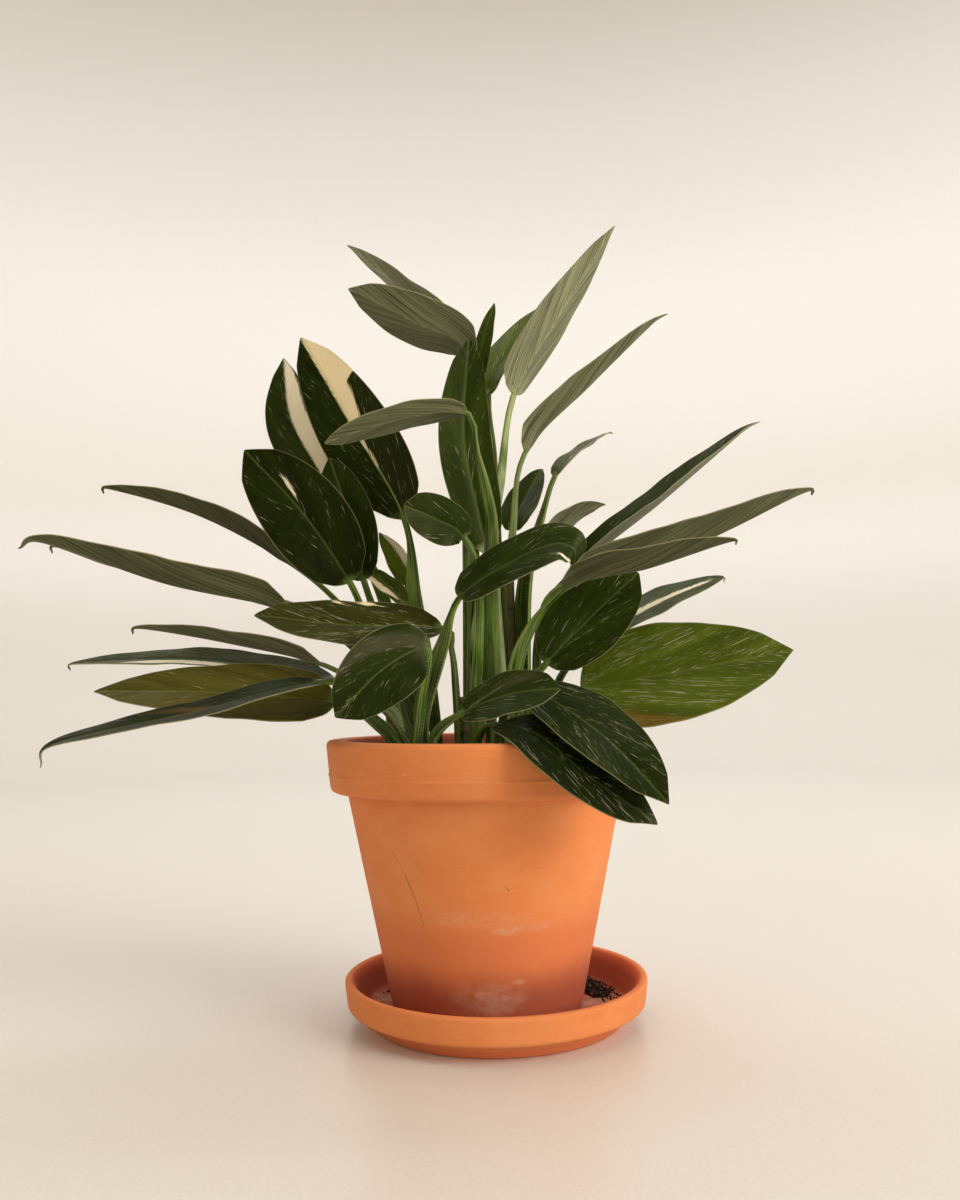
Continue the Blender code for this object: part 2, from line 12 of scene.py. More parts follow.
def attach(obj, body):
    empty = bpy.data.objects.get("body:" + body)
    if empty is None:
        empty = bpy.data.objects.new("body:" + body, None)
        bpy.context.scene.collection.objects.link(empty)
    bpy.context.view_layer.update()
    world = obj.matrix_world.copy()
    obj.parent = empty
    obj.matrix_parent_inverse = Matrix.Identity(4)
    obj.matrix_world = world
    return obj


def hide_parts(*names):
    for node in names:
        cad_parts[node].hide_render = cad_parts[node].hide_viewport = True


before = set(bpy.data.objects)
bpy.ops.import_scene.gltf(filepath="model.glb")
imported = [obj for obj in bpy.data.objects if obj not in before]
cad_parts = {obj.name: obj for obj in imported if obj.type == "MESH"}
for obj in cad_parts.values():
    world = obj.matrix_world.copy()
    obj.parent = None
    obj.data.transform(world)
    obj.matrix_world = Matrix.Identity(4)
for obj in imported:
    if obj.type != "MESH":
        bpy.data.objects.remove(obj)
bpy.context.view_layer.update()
mm = 0.001
rng = np.random.default_rng(20)


def linear(hexColour):
    # an sRGB colour as the linear values that shaders take
    parts = [int(hexColour[i:i + 2], 16) / 255 for i in (1, 3, 5)]
    return [p / 12.92 if p <= 0.04045 else ((p + 0.055) / 1.055) ** 2.4 for p in parts] + [1.0]


smooth = {"interpolation_type": "SMOOTHSTEP"}
asColour = {"data_type": "RGBA"}


def addNode(tree, kind, settings, *values, **named):
    # settings is a dictionary, or a math node's operation; values go to the sockets in use in their order,
    # and the named ones by name: a node or a socket is linked, a hex colour made linear, anything else set
    node = tree.nodes.new("ShaderNode" + kind)
    if isinstance(settings, str):
        settings = {"operation": settings}
    for name, value in settings.items():
        setattr(node, name, value)
    inUse = [socket for socket in node.inputs if socket.enabled]
    for socket, value in list(zip(inUse, values)) + [(node.inputs[key], v) for key, v in named.items()]:
        if isinstance(value, bpy.types.Node):
            value = next(out for out in value.outputs if out.enabled)
        elif isinstance(value, str):
            value = linear(value)
        if isinstance(value, bpy.types.NodeSocket):
            tree.links.new(value, socket)
        else:
            socket.default_value = value
    return node


def startMaterial(name, roughness, ior):
    # a new material, the one function above tied to its nodes, and its shader
    material = bpy.data.materials.new(name)
    material.use_nodes = True
    shader = material.node_tree.nodes["Principled BSDF"]
    shader.inputs["Roughness"].default_value = roughness
    shader.inputs["IOR"].default_value = ior
    return material, partial(addNode, material.node_tree), shader


def putPiece(name, points, faces, materials, node, sharp=40, indices=None, maps=None, marks=None):
    # one mesh that stands for its CAD node; maps are UV pairs by point, marks are single values by point
    mesh = bpy.data.meshes.new(name)
    mesh.from_pydata(np.asarray(points, float).tolist(), [], faces)
    for material in materials:
        mesh.materials.append(material)
    if indices is not None:
        mesh.polygons.foreach_set("material_index", np.asarray(indices, np.int32))
    corner = np.empty(len(mesh.loops), np.int32)
    mesh.loops.foreach_get("vertex_index", corner)
    for mapName, pairs in (maps or {}).items():
        layer = mesh.uv_layers.new(name=mapName)
        layer.data.foreach_set("uv", np.asarray(pairs, np.float32)[corner].ravel())
    for markName, values in (marks or {}).items():
        mark = mesh.attributes.new(markName, "FLOAT", "POINT")
        mark.data.foreach_set("value", np.asarray(values, np.float32))
    mesh.shade_smooth()
    mesh.set_sharp_from_angle(angle=math.radians(sharp))
    piece = bpy.data.objects.new(name, mesh)
    bpy.context.scene.collection.objects.link(piece)
    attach(piece, "root")
    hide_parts(node)
    return piece


def ringFaces(rows, wide, closed=False):
    # quads between rings of equal size, and round from the last ring to the first when closed
    i = np.arange(rows if closed else rows - 1)[:, None] * wide
    after = (i + wide) % (rows * wide)
    k = np.arange(wide)[None, :]
    nextK = (k + 1) % wide
    return np.stack([i + k, i + nextK, after + nextK, after + k], -1).reshape(-1, 4).tolist()


# Clay: the pot and the saucer, both turned
potForm = dict(
    sides=192, floorZ=9.7, baseR=61.9, bodyR=91.1, wall=9, floor=10, drainR=11,
    rimLowZ=147.3, rimTopZ=180.7, rimLowR=101.6, rimR=105, ridgeZ=158.5, ridgeFootR=102.8, ridgeProud=0.7,
    turning=0.05,     # height of the turning lines, mm
    outOfRound=0.25,  # how far the wheel left it off a true circle, mm
)
saucerForm = dict(
    sides=192, x=5.8, rimR=98.6, lowR=96.5, topZ=27.7, bandZ=11, stepR=87, footR=81.3, wellR=84, wall=5.5,
    turning=0.05, outOfRound=0.2,
)
clayLook = dict(
    fired="#e5884b", pale="#f0a267", dark="#c96e3e", moist="#d97346", damp="#a24d36",
    bloom="#e6c6ac", scratch="#ecae83", crack="#5a2a18", roughness=0.86, ior=1.5,
    mottleMm=34, blotchMm=75,      # across the kiln's small and large blotches
    ringMm=1.1, grainMm=0.7,       # between turning rings, and the sand; the real ones are finer still
    pitMm=3.4, bloomMm=6.7,        # between pits, and across a fleck of lime
    reliefMm=0.4, wobbleMm=0.3,    # depth of the relief, and how far a scratch strays
)
# on the pot, in mm: hairline cracks and scratches from point to point with their widths, and patches of lime
potLines = [
    ((-56.5, -62.7, 115.7), (-48.6, -65.4, 101.9), 0.16, "crack"),
    ((-48.6, -65.4, 101.9), (-42.6, -66.0, 88.4), 0.34, "crack"),
    ((-42.6, -66.0, 88.4), (-37.5, -65.1, 71.8), 0.24, "crack"),
    ((10.9, -79.6, 96.8), (13.1, -78.8, 94.4), 0.3, "crack"),
    ((-82.2, -30.5, 131.4), (-64, -60.5, 132.6), 0.3, "scratch"),
    ((-78.9, -37.4, 129.3), (-62.7, -61.1, 130.5), 0.35, "scratch"),
    ((-74.8, -71.0, 162.0), (-46.1, -92.3, 163.2), 0.4, "scratch"),
]
potBlooms = [
    ((-14, -73, 77), (46, 20, 7), 0.22), ((11.9, -73.8, 70.2), (12, 14, 4), 0.4),
    ((31, -68, 72), (22, 20, 4), 0.16), ((19.3, -65.2, 38.7), (6, 8, 2.5), 0.5),
    ((2, -66.4, 28), (30, 20, 14), 0.36), ((72, 14, 80), (20, 40, 14), 0.35), ((-50, 40, 60), (30, 40, 6), 0.4),
]
saucerBlooms = [((-62, -10, 9.4), (34, 50, 4), 0.6), ((74, -8, 9.4), (26, 40, 4), 0.6)]


def clayMaterial(name, bloomAt, lines=()):
    # Earthenware, turned on a wheel and fired without a glaze: matt and orange-brown, blotched by the kiln,
    # with the fine rings of the turning, darker where it takes up water from below, and darkened inside as painted
    # shade
    look = clayLook
    material, add, shader = startMaterial(name, look["roughness"], look["ior"])
    place = add("TexCoord", {}).outputs["Object"]
    mottle = add("TexNoise", {}, place, Scale=1000 / look["mottleMm"], Detail=5, Roughness=0.6)
    blotch = add("TexNoise", {}, place, Scale=1000 / look["blotchMm"], Detail=3)
    flat = add("VectorMath", "MULTIPLY", place, (0.06, 0.06, 1.0))
    rings = add("TexNoise", {}, flat, Scale=1000 / look["ringMm"], Detail=4, Roughness=0.7)
    grain = add("TexNoise", {}, place, Scale=1000 / look["grainMm"], Detail=3)
    pits = add("TexVoronoi", {}, place, Scale=1000 / look["pitMm"], Randomness=1.0)
    colour = add("MapRange", smooth, mottle, 0.4, 0.75, 0, 0.45)
    colour = add("Mix", asColour, colour, look["fired"], look["pale"])
    colour = add("Mix", asColour, add("MapRange", smooth, blotch, 0.5, 0.75, 0, 0.3), colour, look["dark"])
    colour = add("Mix", asColour, add("MapRange", smooth, rings, 0.45, 0.75, 0, 0.3), colour, look["pale"])
    stir = add("Math", "MULTIPLY_ADD", mottle, 0.7, -0.35)
    # the moist and damp marks: real damp towards the foot, and painted shade inside the pot
    for mark in ("moist", "damp"):
        share = add("Math", "ADD", add("Attribute", {"attribute_name": mark}).outputs["Fac"], stir)
        colour = add("Mix", asColour, add("MapRange", smooth, share, 0, 1, 0, 0.85), colour, look[mark])
    bloomNoise = add("TexNoise", {}, place, Scale=1000 / look["bloomMm"], Detail=6, Roughness=0.6)
    for centre, size, strength in bloomAt:   # lime left by drying water, in soft patches
        near = add("VectorMath", "SUBTRACT", place, [c * mm for c in centre])
        near = add("VectorMath", "DIVIDE", near, [s * mm for s in size])
        near = add("VectorMath", "LENGTH", near).outputs["Value"]
        patch = add("MapRange", smooth, near, 0.3, 1.0, strength, 0)
        patch = add("Math", "MULTIPLY", patch, add("MapRange", smooth, bloomNoise, 0.25, 0.75))
        colour = add("Mix", asColour, patch, colour, look["bloom"])
    for start, end, width, tint in lines:    # scratches and hairline cracks, each a thin line
        line = lineMask(add, place, mottle, start, end, width)
        colour = add("Mix", asColour, line, colour, look[tint])
    specks = add("MapRange", smooth, pits.outputs["Distance"], 0.05, 0.12, 0.5, 0)
    colour = add("Mix", asColour, specks, colour, look["dark"])
    material.node_tree.links.new(colour.outputs[2], shader.inputs["Base Color"])
    rough = add("Math", "MULTIPLY_ADD", rings, 0.45, grain)
    rough = add("Math", "MULTIPLY_ADD", specks, -0.6, rough)
    bump = add("Bump", {}, Strength=0.35, Distance=look["reliefMm"] * mm, Height=rough)
    material.node_tree.links.new(bump.outputs[0], shader.inputs["Normal"])
    return material


def lineMask(add, place, wobble, start, end, width):
    # 1 along a straight line between two points given in mm, wobbling a little, else 0
    start, end = Vector(start) * mm, Vector(end) * mm
    offset = add("VectorMath", "SUBTRACT", place, start)
    along = add("VectorMath", "DOT_PRODUCT", offset, (end - start) / (end - start).length_squared)
    along = add("Math", "MAXIMUM", add("Math", "MINIMUM", along.outputs["Value"], 1.0), 0.0)
    reach = add("VectorMath", "SCALE", tuple(end - start), Scale=along)
    away = add("VectorMath", "DISTANCE", offset, reach).outputs["Value"]
    stray = clayLook["wobbleMm"] * mm
    away = add("Math", "MULTIPLY_ADD", wobble, stray, away)
    return add("MapRange", smooth, away, stray / 2 + width * mm * 0.6, stray / 2 + width * mm * 1.1, 0.8, 0)


def filleted(corners, step=1.5):
    # a closed profile with every corner rounded; each corner is (radius, height, rounding), all in mm
    points = []
    count = len(corners)
    for n, (r, z, rounding) in enumerate(corners):
        here = Vector((r, z))
        before = Vector(corners[n - 1][:2]) - here
        after = Vector(corners[(n + 1) % count][:2]) - here
        reach = min(rounding, before.length * 0.45, after.length * 0.45)
        a, c = here + before.normalized() * reach, here + after.normalized() * reach
        for k in range(5):
            t = k / 4
            points.append(a * (1 - t) ** 2 + here * 2 * t * (1 - t) + c * t ** 2)
    spread = []
    for a, b in zip(points, points[1:] + points[:1]):
        parts = max(1, math.ceil((b - a).length / step))
        spread += [a.lerp(b, k / parts) for k in range(parts)]
    return np.array([tuple(p) for p in spread])


def turned(profile, form, seed, centreX=0.0):
    # the profile spun round the axis, with faint turning lines and a slight waver
    sides = form["sides"]
    angles = np.linspace(0, 2 * math.pi, sides, endpoint=False)
    lines = np.array([noise.noise((0.0, z * 0.55, seed)) for z in profile[:, 1]]) * form["turning"] * 2
    waver = np.array([noise.noise((math.cos(a) * 1.3, math.sin(a) * 1.3, seed)) for a in angles])
    waver *= form["outOfRound"]
    r = profile[:, :1] + lines[:, None] + waver[None, :]
    x = centreX + r * np.cos(angles)
    y = r * np.sin(angles)
    z = np.broadcast_to(profile[:, 1:], r.shape)
    return np.stack([x, y, z], -1).reshape(-1, 3) * mm


def innerRadius(z):
    f = potForm
    slope = (f["bodyR"] - f["baseR"]) / (f["rimLowZ"] - f["floorZ"])
    return f["baseR"] + slope * (z - f["floorZ"]) - f["wall"]


def makePot():
    f = potForm
    inside = f["floorZ"] + f["floor"]
    corners = [
        (f["drainR"], f["floorZ"], 1.5), (f["baseR"], f["floorZ"], 2.5), (f["bodyR"], f["rimLowZ"], 1.0),
        (f["rimLowR"], f["rimLowZ"] + 0.3, 3.2), (f["ridgeFootR"], f["ridgeZ"] - 1.6, 1.0),
        (f["ridgeFootR"] + f["ridgeProud"], f["ridgeZ"], 1.2), (f["ridgeFootR"] + 0.2, f["ridgeZ"] + 1.6, 1.0),
        (f["rimR"], f["rimTopZ"], 4.0), (innerRadius(f["rimTopZ"]), f["rimTopZ"], 4.0),
        (innerRadius(inside), inside, 5.0), (f["drainR"], inside, 1.5)]
    profile = filleted(corners)
    r, z = profile.T
    # the whole inside of the pot takes the full moist and damp colours as painted shade; outside it darkens towards
    # the foot, where it takes up water
    inner = (r < innerRadius(z) + 2) & (z > f["floorZ"] + 2)
    moist = np.where(inner, 1, np.clip((86 - z) / 34, 0, 0.62))
    damp = np.where(inner, 1.2, np.clip((52 - z) / 28, 0, 0.95))
    marks = dict(moist=np.repeat(moist, f["sides"]), damp=np.repeat(damp, f["sides"]))
    putPiece("potTurned", turned(profile, f, 3.1), ringFaces(len(profile), f["sides"], closed=True),
             [clayMaterial("potTurnedEarthenware", potBlooms, potLines)], "pot", marks=marks)


def makeSaucer():
    f = saucerForm
    inner = f["rimR"] - f["wall"]
    corners = [
        (0.2, 0, 0), (f["footR"], 0, 1.6), (f["stepR"], f["bandZ"] - 2.2, 1.5), (f["lowR"], f["bandZ"], 2.4),
        (f["rimR"], f["topZ"], 2.8), (inner, f["topZ"], 2.8), (f["wellR"], 9.4, 3.0), (0.2, 9.4, 0)]
    profile = filleted(corners)
    r, z = profile.T
    inner = (r < inner + 1) & (z > 9)
    moist = np.where(inner, 1, np.clip((9 - z) / 5, 0, 0.8))
    damp = np.where(inner, np.clip((27 - z) / 7, 0, 0.85), 0)
    marks = dict(moist=np.repeat(moist, f["sides"]), damp=np.repeat(damp, f["sides"]))
    putPiece("saucerTurned", turned(profile, f, 8.4, f["x"]), ringFaces(len(profile), f["sides"], closed=True),
             [clayMaterial("saucerTurnedEarthenware", saucerBlooms)], "saucer", marks=marks)


makePot()
makeSaucer()
print("pot and saucer turned")


# Leaves
leafLook = dict(
    top="#26340a", topDeep="#131e01", topBright="#62741c", topRib="#7d8b45", olive="#6a5c20",
    under="#a2a683", underDeep="#6d6f52", underPaintedShade="#363324", margin="#a3a273",
    cream="#f6ecd2", creamGreen="#bfc187", creamYellow="#ebdab0", brown="#7a5524", dull="#504b3d",
    stalk="#5a7a22", stalkDeep="#1a2b08", stalkPale="#c3cf98", sheath="#7f8a4e",
    topRough=0.27, underRough=0.5, ior=1.45, specular=0.2, gloss="#d3d79a",
    veinMm=3.4,         # between side veins on top; a little over twice that below
    fleckMm=(0.8, 5),   # width and length of a white fleck; the leaf's smallest are finer than this
)
# noises spread over a leaf: mm across it, mm along a side vein, detail, roughness
leafNoises = dict(
    both=dict(cloud=(26, 34, 3, 0.5), grown=(0.9, 40, 3, 0.6), skin=(0.9, 0.9, 2, 0.5), paint=(16, 5, 2, 0.5)),
    top=dict(fibre=(7, 0.9, 3, 0.6), where=(20, 26, 2, 0.5)),
    under=dict(fibre=(14, 3.2, 4, 0.65), line=(24, 1.3, 2, 0.5)),
)


def leafMaterial(name, topSide):
    # Aroid leaf: thick waxed skin, glossy green over a paler matt underside, white where the cells lack green
    look = leafLook
    base = look["topRough"] if topSide else look["underRough"]
    material, add, shader = startMaterial(name, base, look["ior"])
    form = add("SeparateXYZ", {}, add("UVMap", {"uv_map": "leafForm"}))
    sizes = add("SeparateXYZ", {}, add("UVMap", {"uv_map": "leafSize"}))
    across, along = sizes.outputs[0], sizes.outputs[1]    # mm from the midrib, and along it to a vein's foot
    marks = {mark: add("Attribute", {"attribute_name": mark}).outputs["Fac"] for mark in (
        "tone", "flecky", "cream", "brown", "dull", "yellow", "onBlade", "seed", "palest", "ribbed", "olive")}
    toMargin = add("Math", "ABSOLUTE", form.outputs[0])
    fromRib = add("Math", "ABSOLUTE", across)
    if not topSide:    # below, the veins stand out and run nearly along the leaf
        along = add("Math", "MULTIPLY_ADD", fromRib, -1.8, along)
    spot = add("CombineXYZ", {}, across, along, marks["seed"])
    spread = dict(leafNoises["both"], **leafNoises["top" if topSide else "under"])
    if topSide:
        wide, long = look["fleckMm"]
        spread.update(fleck=(long, wide, 1, 0.5), fleckLarge=(long * 2.2, wide * 2, 2, 0.5),
                      fleckTiny=(long * 0.5, wide * 0.6, 1, 0.5))
    noises = {}
    for key, (x, y, detail, roughness) in spread.items():
        stretched = add("VectorMath", "DIVIDE", spot, (x, y, 1.0))
        noises[key] = add("TexNoise", {}, stretched, Scale=1.0, Detail=detail, Roughness=roughness).outputs[0]
    cloud, fibre = noises["cloud"], noises["fibre"]

    vein = add("Math", "MULTIPLY_ADD", cloud, 3.0, along)
    vein = add("Math", "DIVIDE", vein, look["veinMm"] * (1 if topSide else 2.2))
    vein = add("Math", "SUBTRACT", add("Math", "FRACT", vein), 0.5)
    onVein = add("MapRange", smooth, add("Math", "ABSOLUTE", vein), 0.03, 0.16, 1, 0)
    rib = add("MapRange", smooth, fromRib, 0.4, 0.95 if topSide else 1.5, 1, 0)
    if topSide:
        bright = add("MapRange", smooth, marks["tone"], 0, 1)
        colour = add("MapRange", smooth, marks["tone"], -1, 0)
        colour = add("Mix", asColour, colour, look["topDeep"], look["top"])
        colour = add("Mix", asColour, bright, colour, look["topBright"])
        colour = add("Mix", asColour, marks["olive"], colour, look["olive"])
        light = add("Math", "MULTIPLY_ADD", onVein, 0.14, add("MapRange", smooth, cloud, 0.3, 0.72, 0.7, 1.25))
        light = add("Math", "ADD", light, add("MapRange", smooth, fibre, 0.4, 0.75, -0.05, 0.12))
        colour = add("VectorMath", "SCALE", colour, Scale=light)
        colour = add("Mix", asColour, add("Math", "MULTIPLY", rib, marks["ribbed"]), colour, look["topRib"])
        level = add("Math", "MULTIPLY_ADD", marks["flecky"], -0.1, 0.855)
        level = add("Math", "MULTIPLY_ADD", noises["where"], -0.16, level)
        fleck = 0.0
        for key, low, high, most in (
                ("fleck", 0, 0.03, 1), ("fleckTiny", 0.02, 0.05, 0.7), ("fleckLarge", 0.03, 0.06, 1)):
            over = add("Math", "SUBTRACT", noises[key], level)
            fleck = add("Math", "MAXIMUM", fleck, add("MapRange", smooth, over, low, high, 0, most))
        fleck = add("Math", "MULTIPLY", fleck, add("MapRange", smooth, toMargin, 0.95, 0.9, 0, 0.85))
        colour = add("Mix", asColour, fleck, colour, look["cream"])
    else:
        colour = add("MapRange", smooth, marks["tone"], -1, 1)
        colour = add("Mix", asColour, colour, look["underDeep"], look["under"])
        light = add("Math", "MULTIPLY_ADD", onVein, -0.35, add("MapRange", smooth, cloud, 0.3, 0.72, 0.85, 1.15))
        light = add("Math", "MULTIPLY_ADD", rib, 0.25, light)
        # a tone below -1 darkens the underside further, to 0.55 at -2: painted shade on the undersides of folded
        # leaves
        light = add("Math", "MULTIPLY", light, add("MapRange", smooth, marks["tone"], -2, -1, 0.55, 1))
        light = add("Math", "MULTIPLY", light, add("MapRange", smooth, noises["line"], 0.35, 0.6, 0.78, 1.1))
        colour = add("VectorMath", "SCALE", colour, Scale=light)
        # dark streaks along the side veins below: painted shade of the folds and curls
        shade = add("MapRange", smooth, fibre, 0.57, 0.36, 0, 0.85)
        colour = add("Mix", asColour, shade, colour, look["underPaintedShade"])
    paint = add("MapRange", smooth, noises["paint"], 0.5, 0.75, 0, 0.3)
    paint = add("Mix", asColour, paint, look["cream"], look["creamGreen"])
    paint = add("Mix", asColour, marks["yellow"], paint, look["creamYellow"])
    ragged = add("Math", "MULTIPLY_ADD", fibre, 0.9, add("Math", "SUBTRACT", marks["cream"], 0.45))
    colour = add("Mix", asColour, add("MapRange", smooth, ragged, 0.46, 0.54), colour, paint)
    # grey patches painted in for a sheen on the leaf; they are also made rougher further down
    paintedSheenShare = add("Math", "MULTIPLY_ADD", cloud, 0.6, add("Math", "SUBTRACT", marks["dull"], 0.3))
    paintedSheenShare = add("MapRange", smooth, paintedSheenShare, 0.3, 0.85, 0, 0.5)
    colour = add("Mix", asColour, paintedSheenShare, colour, look["dull"])
    scorch = add("Math", "MULTIPLY_ADD", cloud, 0.5, add("Math", "SUBTRACT", marks["brown"], 0.25))
    colour = add("Mix", asColour, add("MapRange", smooth, scorch, 0.2, 0.95, 0, 0.8), colour, look["brown"])
    # a pale line along the margin: the leaf's own pale rim, with a painted highlight of its lit edge
    edge = add("MapRange", smooth, toMargin, 0.965, 0.995, 0, 0.4 if topSide else 0.55)
    colour = add("Mix", asColour, edge, colour, look["margin"])

    stalk = add("MapRange", smooth, noises["grown"], 0.42, 0.6)
    stalk = add("Mix", asColour, stalk, look["stalkDeep"], look["stalk"])
    pale = add("Math", "MULTIPLY", marks["palest"], add("MapRange", smooth, cloud, 0.3, 0.6))
    stalk = add("Mix", asColour, pale, stalk, look["stalkPale"])
    edge = add("MapRange", smooth, toMargin, 0.8, 0.97, 0, 0.6)
    stalk = add("Mix", asColour, edge, stalk, look["sheath"])
    colour = add("Mix", asColour, marks["onBlade"], stalk, colour)
    material.node_tree.links.new(colour.outputs[2], shader.inputs["Base Color"])

    relief = add("Math", "MULTIPLY_ADD", onVein, -0.35 if topSide else 0.5, add("Math", "MULTIPLY", fibre, 0.5))
    relief = add("Math", "MULTIPLY_ADD", noises["skin"], 0.18, relief)
    bump = add("Bump", {}, Strength=0.3, Distance=0.0005, Height=relief)
    material.node_tree.links.new(bump.outputs[0], shader.inputs["Normal"])
    rough = add("Math", "MULTIPLY_ADD", fibre, 0.16, base - 0.08)
    rough = add("Math", "MULTIPLY_ADD", paintedSheenShare, 0.4, rough)
    material.node_tree.links.new(rough.outputs[0], shader.inputs["Roughness"])
    shader.inputs["Specular IOR Level"].default_value = look["specular"]
    shader.inputs["Specular Tint"].default_value = linear(look["gloss"])
    return material


# how every leaf is shaped, in mm unless said otherwise
leafShape = dict(
    across=27, bladeRows=104, stalkRows=26, pathSteps=40,
    soilZ=162, rootDeep=20, collarUp=3,
    stalkHalf=2.9, stalkThick=4.6, stalkEdge=1.4, sheathEdge=0.8, sheathEnd=0.9, sheathCup=0.75,
    neckHalf=2.2, neckThick=3.4, tipHalf=0.5,
    ribThick=1.9, ribThins=1.0, ribFade=0.14, edge=0.6, top=0.35,
    flatFade=0.05, foldFade=0.1, foldLoss=0.4, lobeBack=4.5, lobeEnd=0.2, wave=0.6, waves=2.5,
    groove=0.45, grooveHalf=1.1,    # the sunken line of the midrib on top
    pleat=0.004, pleatMm=8.5,       # height of the pleats as a share of the half width, and the length of one
    ripple=0.012, rippleMm=27,      # the margin's ripple, the same way
    veinLean=3.2, veinBow=0.012,    # how far forward a side vein runs per mm out, and how much it bows
)


def leafPath(form):
    # the smooth curve through a leaf's points, from its collar on the soil to its tip, and the blade's start
    s = leafShape
    x, y = form["root"]
    knots = np.array([(x, y, s["soilZ"] + s["collarUp"])] + form["stalk"] + form["blade"], float)
    ends = np.vstack([2 * knots[0] - knots[1], knots, 2 * knots[-1] - knots[-2]])
    t = np.linspace(0, 1, s["pathSteps"], endpoint=False)[:, None]
    pieces = []
    for a, b, c, d in zip(ends, ends[1:], ends[2:], ends[3:]):
        bow, twist = 2 * a - 5 * b + 4 * c - d, 3 * b - a - 3 * c + d
        pieces.append((2 * b + (c - a) * t + bow * t**2 + twist * t**3) / 2)
    path = np.vstack(pieces + [knots[-1:]])
    length = np.concatenate([[0], np.cumsum(np.linalg.norm(np.diff(path, axis=0), axis=1))])
    return path, length, length[s["pathSteps"] * (1 + len(form["stalk"]))]


def unit(v):
    return v / np.linalg.norm(v, axis=-1, keepdims=True)


def alongPath(path, length, spots):
    place = np.stack([np.interp(spots, length, path[:, k]) for k in range(3)], -1)
    step = 0.8
    before = np.stack([np.interp(spots - step, length, path[:, k]) for k in range(3)], -1)
    after = np.stack([np.interp(spots + step, length, path[:, k]) for k in range(3)], -1)
    return place, unit(after - before)


def bladeOutline(t, fore, aft):
    peak = fore / (fore + aft)
    inside = np.clip(t, 1e-6, 1 - 1e-6)
    share = (inside / peak) ** fore * ((1 - inside) / (1 - peak)) ** aft
    share = share * np.minimum(1, (1 - inside) / 0.12) ** 0.35      # a drip tip
    share = share * np.minimum(1, inside / 0.11) ** 0.5             # a round base
    return np.where((t > 0) & (t < 1), share, 0)


def patchDepth(patches, t, a, half, bladeLength):
    # how far inside its patches each point of a leaf lies, mm; a patch is a list of (t, low a, high a),
    # and it leans with the side veins
    depth = np.full(np.broadcast(t, a).shape, -9.0)
    for patch in patches:
        ts, lows, highs = np.array(patch, float).T
        centre = abs(lows.mean() + highs.mean()) / 2
        leaning = t - leafShape["veinLean"] * (np.abs(a) - centre) * half / bladeLength
        low, high = np.interp(t, ts, lows), np.interp(t, ts, highs)
        inside = np.minimum((a - low) * half, (high - a) * half)
        inside = np.minimum(inside, np.minimum(leaning - ts[0], ts[-1] - leaning) * bladeLength * 0.6)
        depth = np.maximum(depth, inside)
    return depth


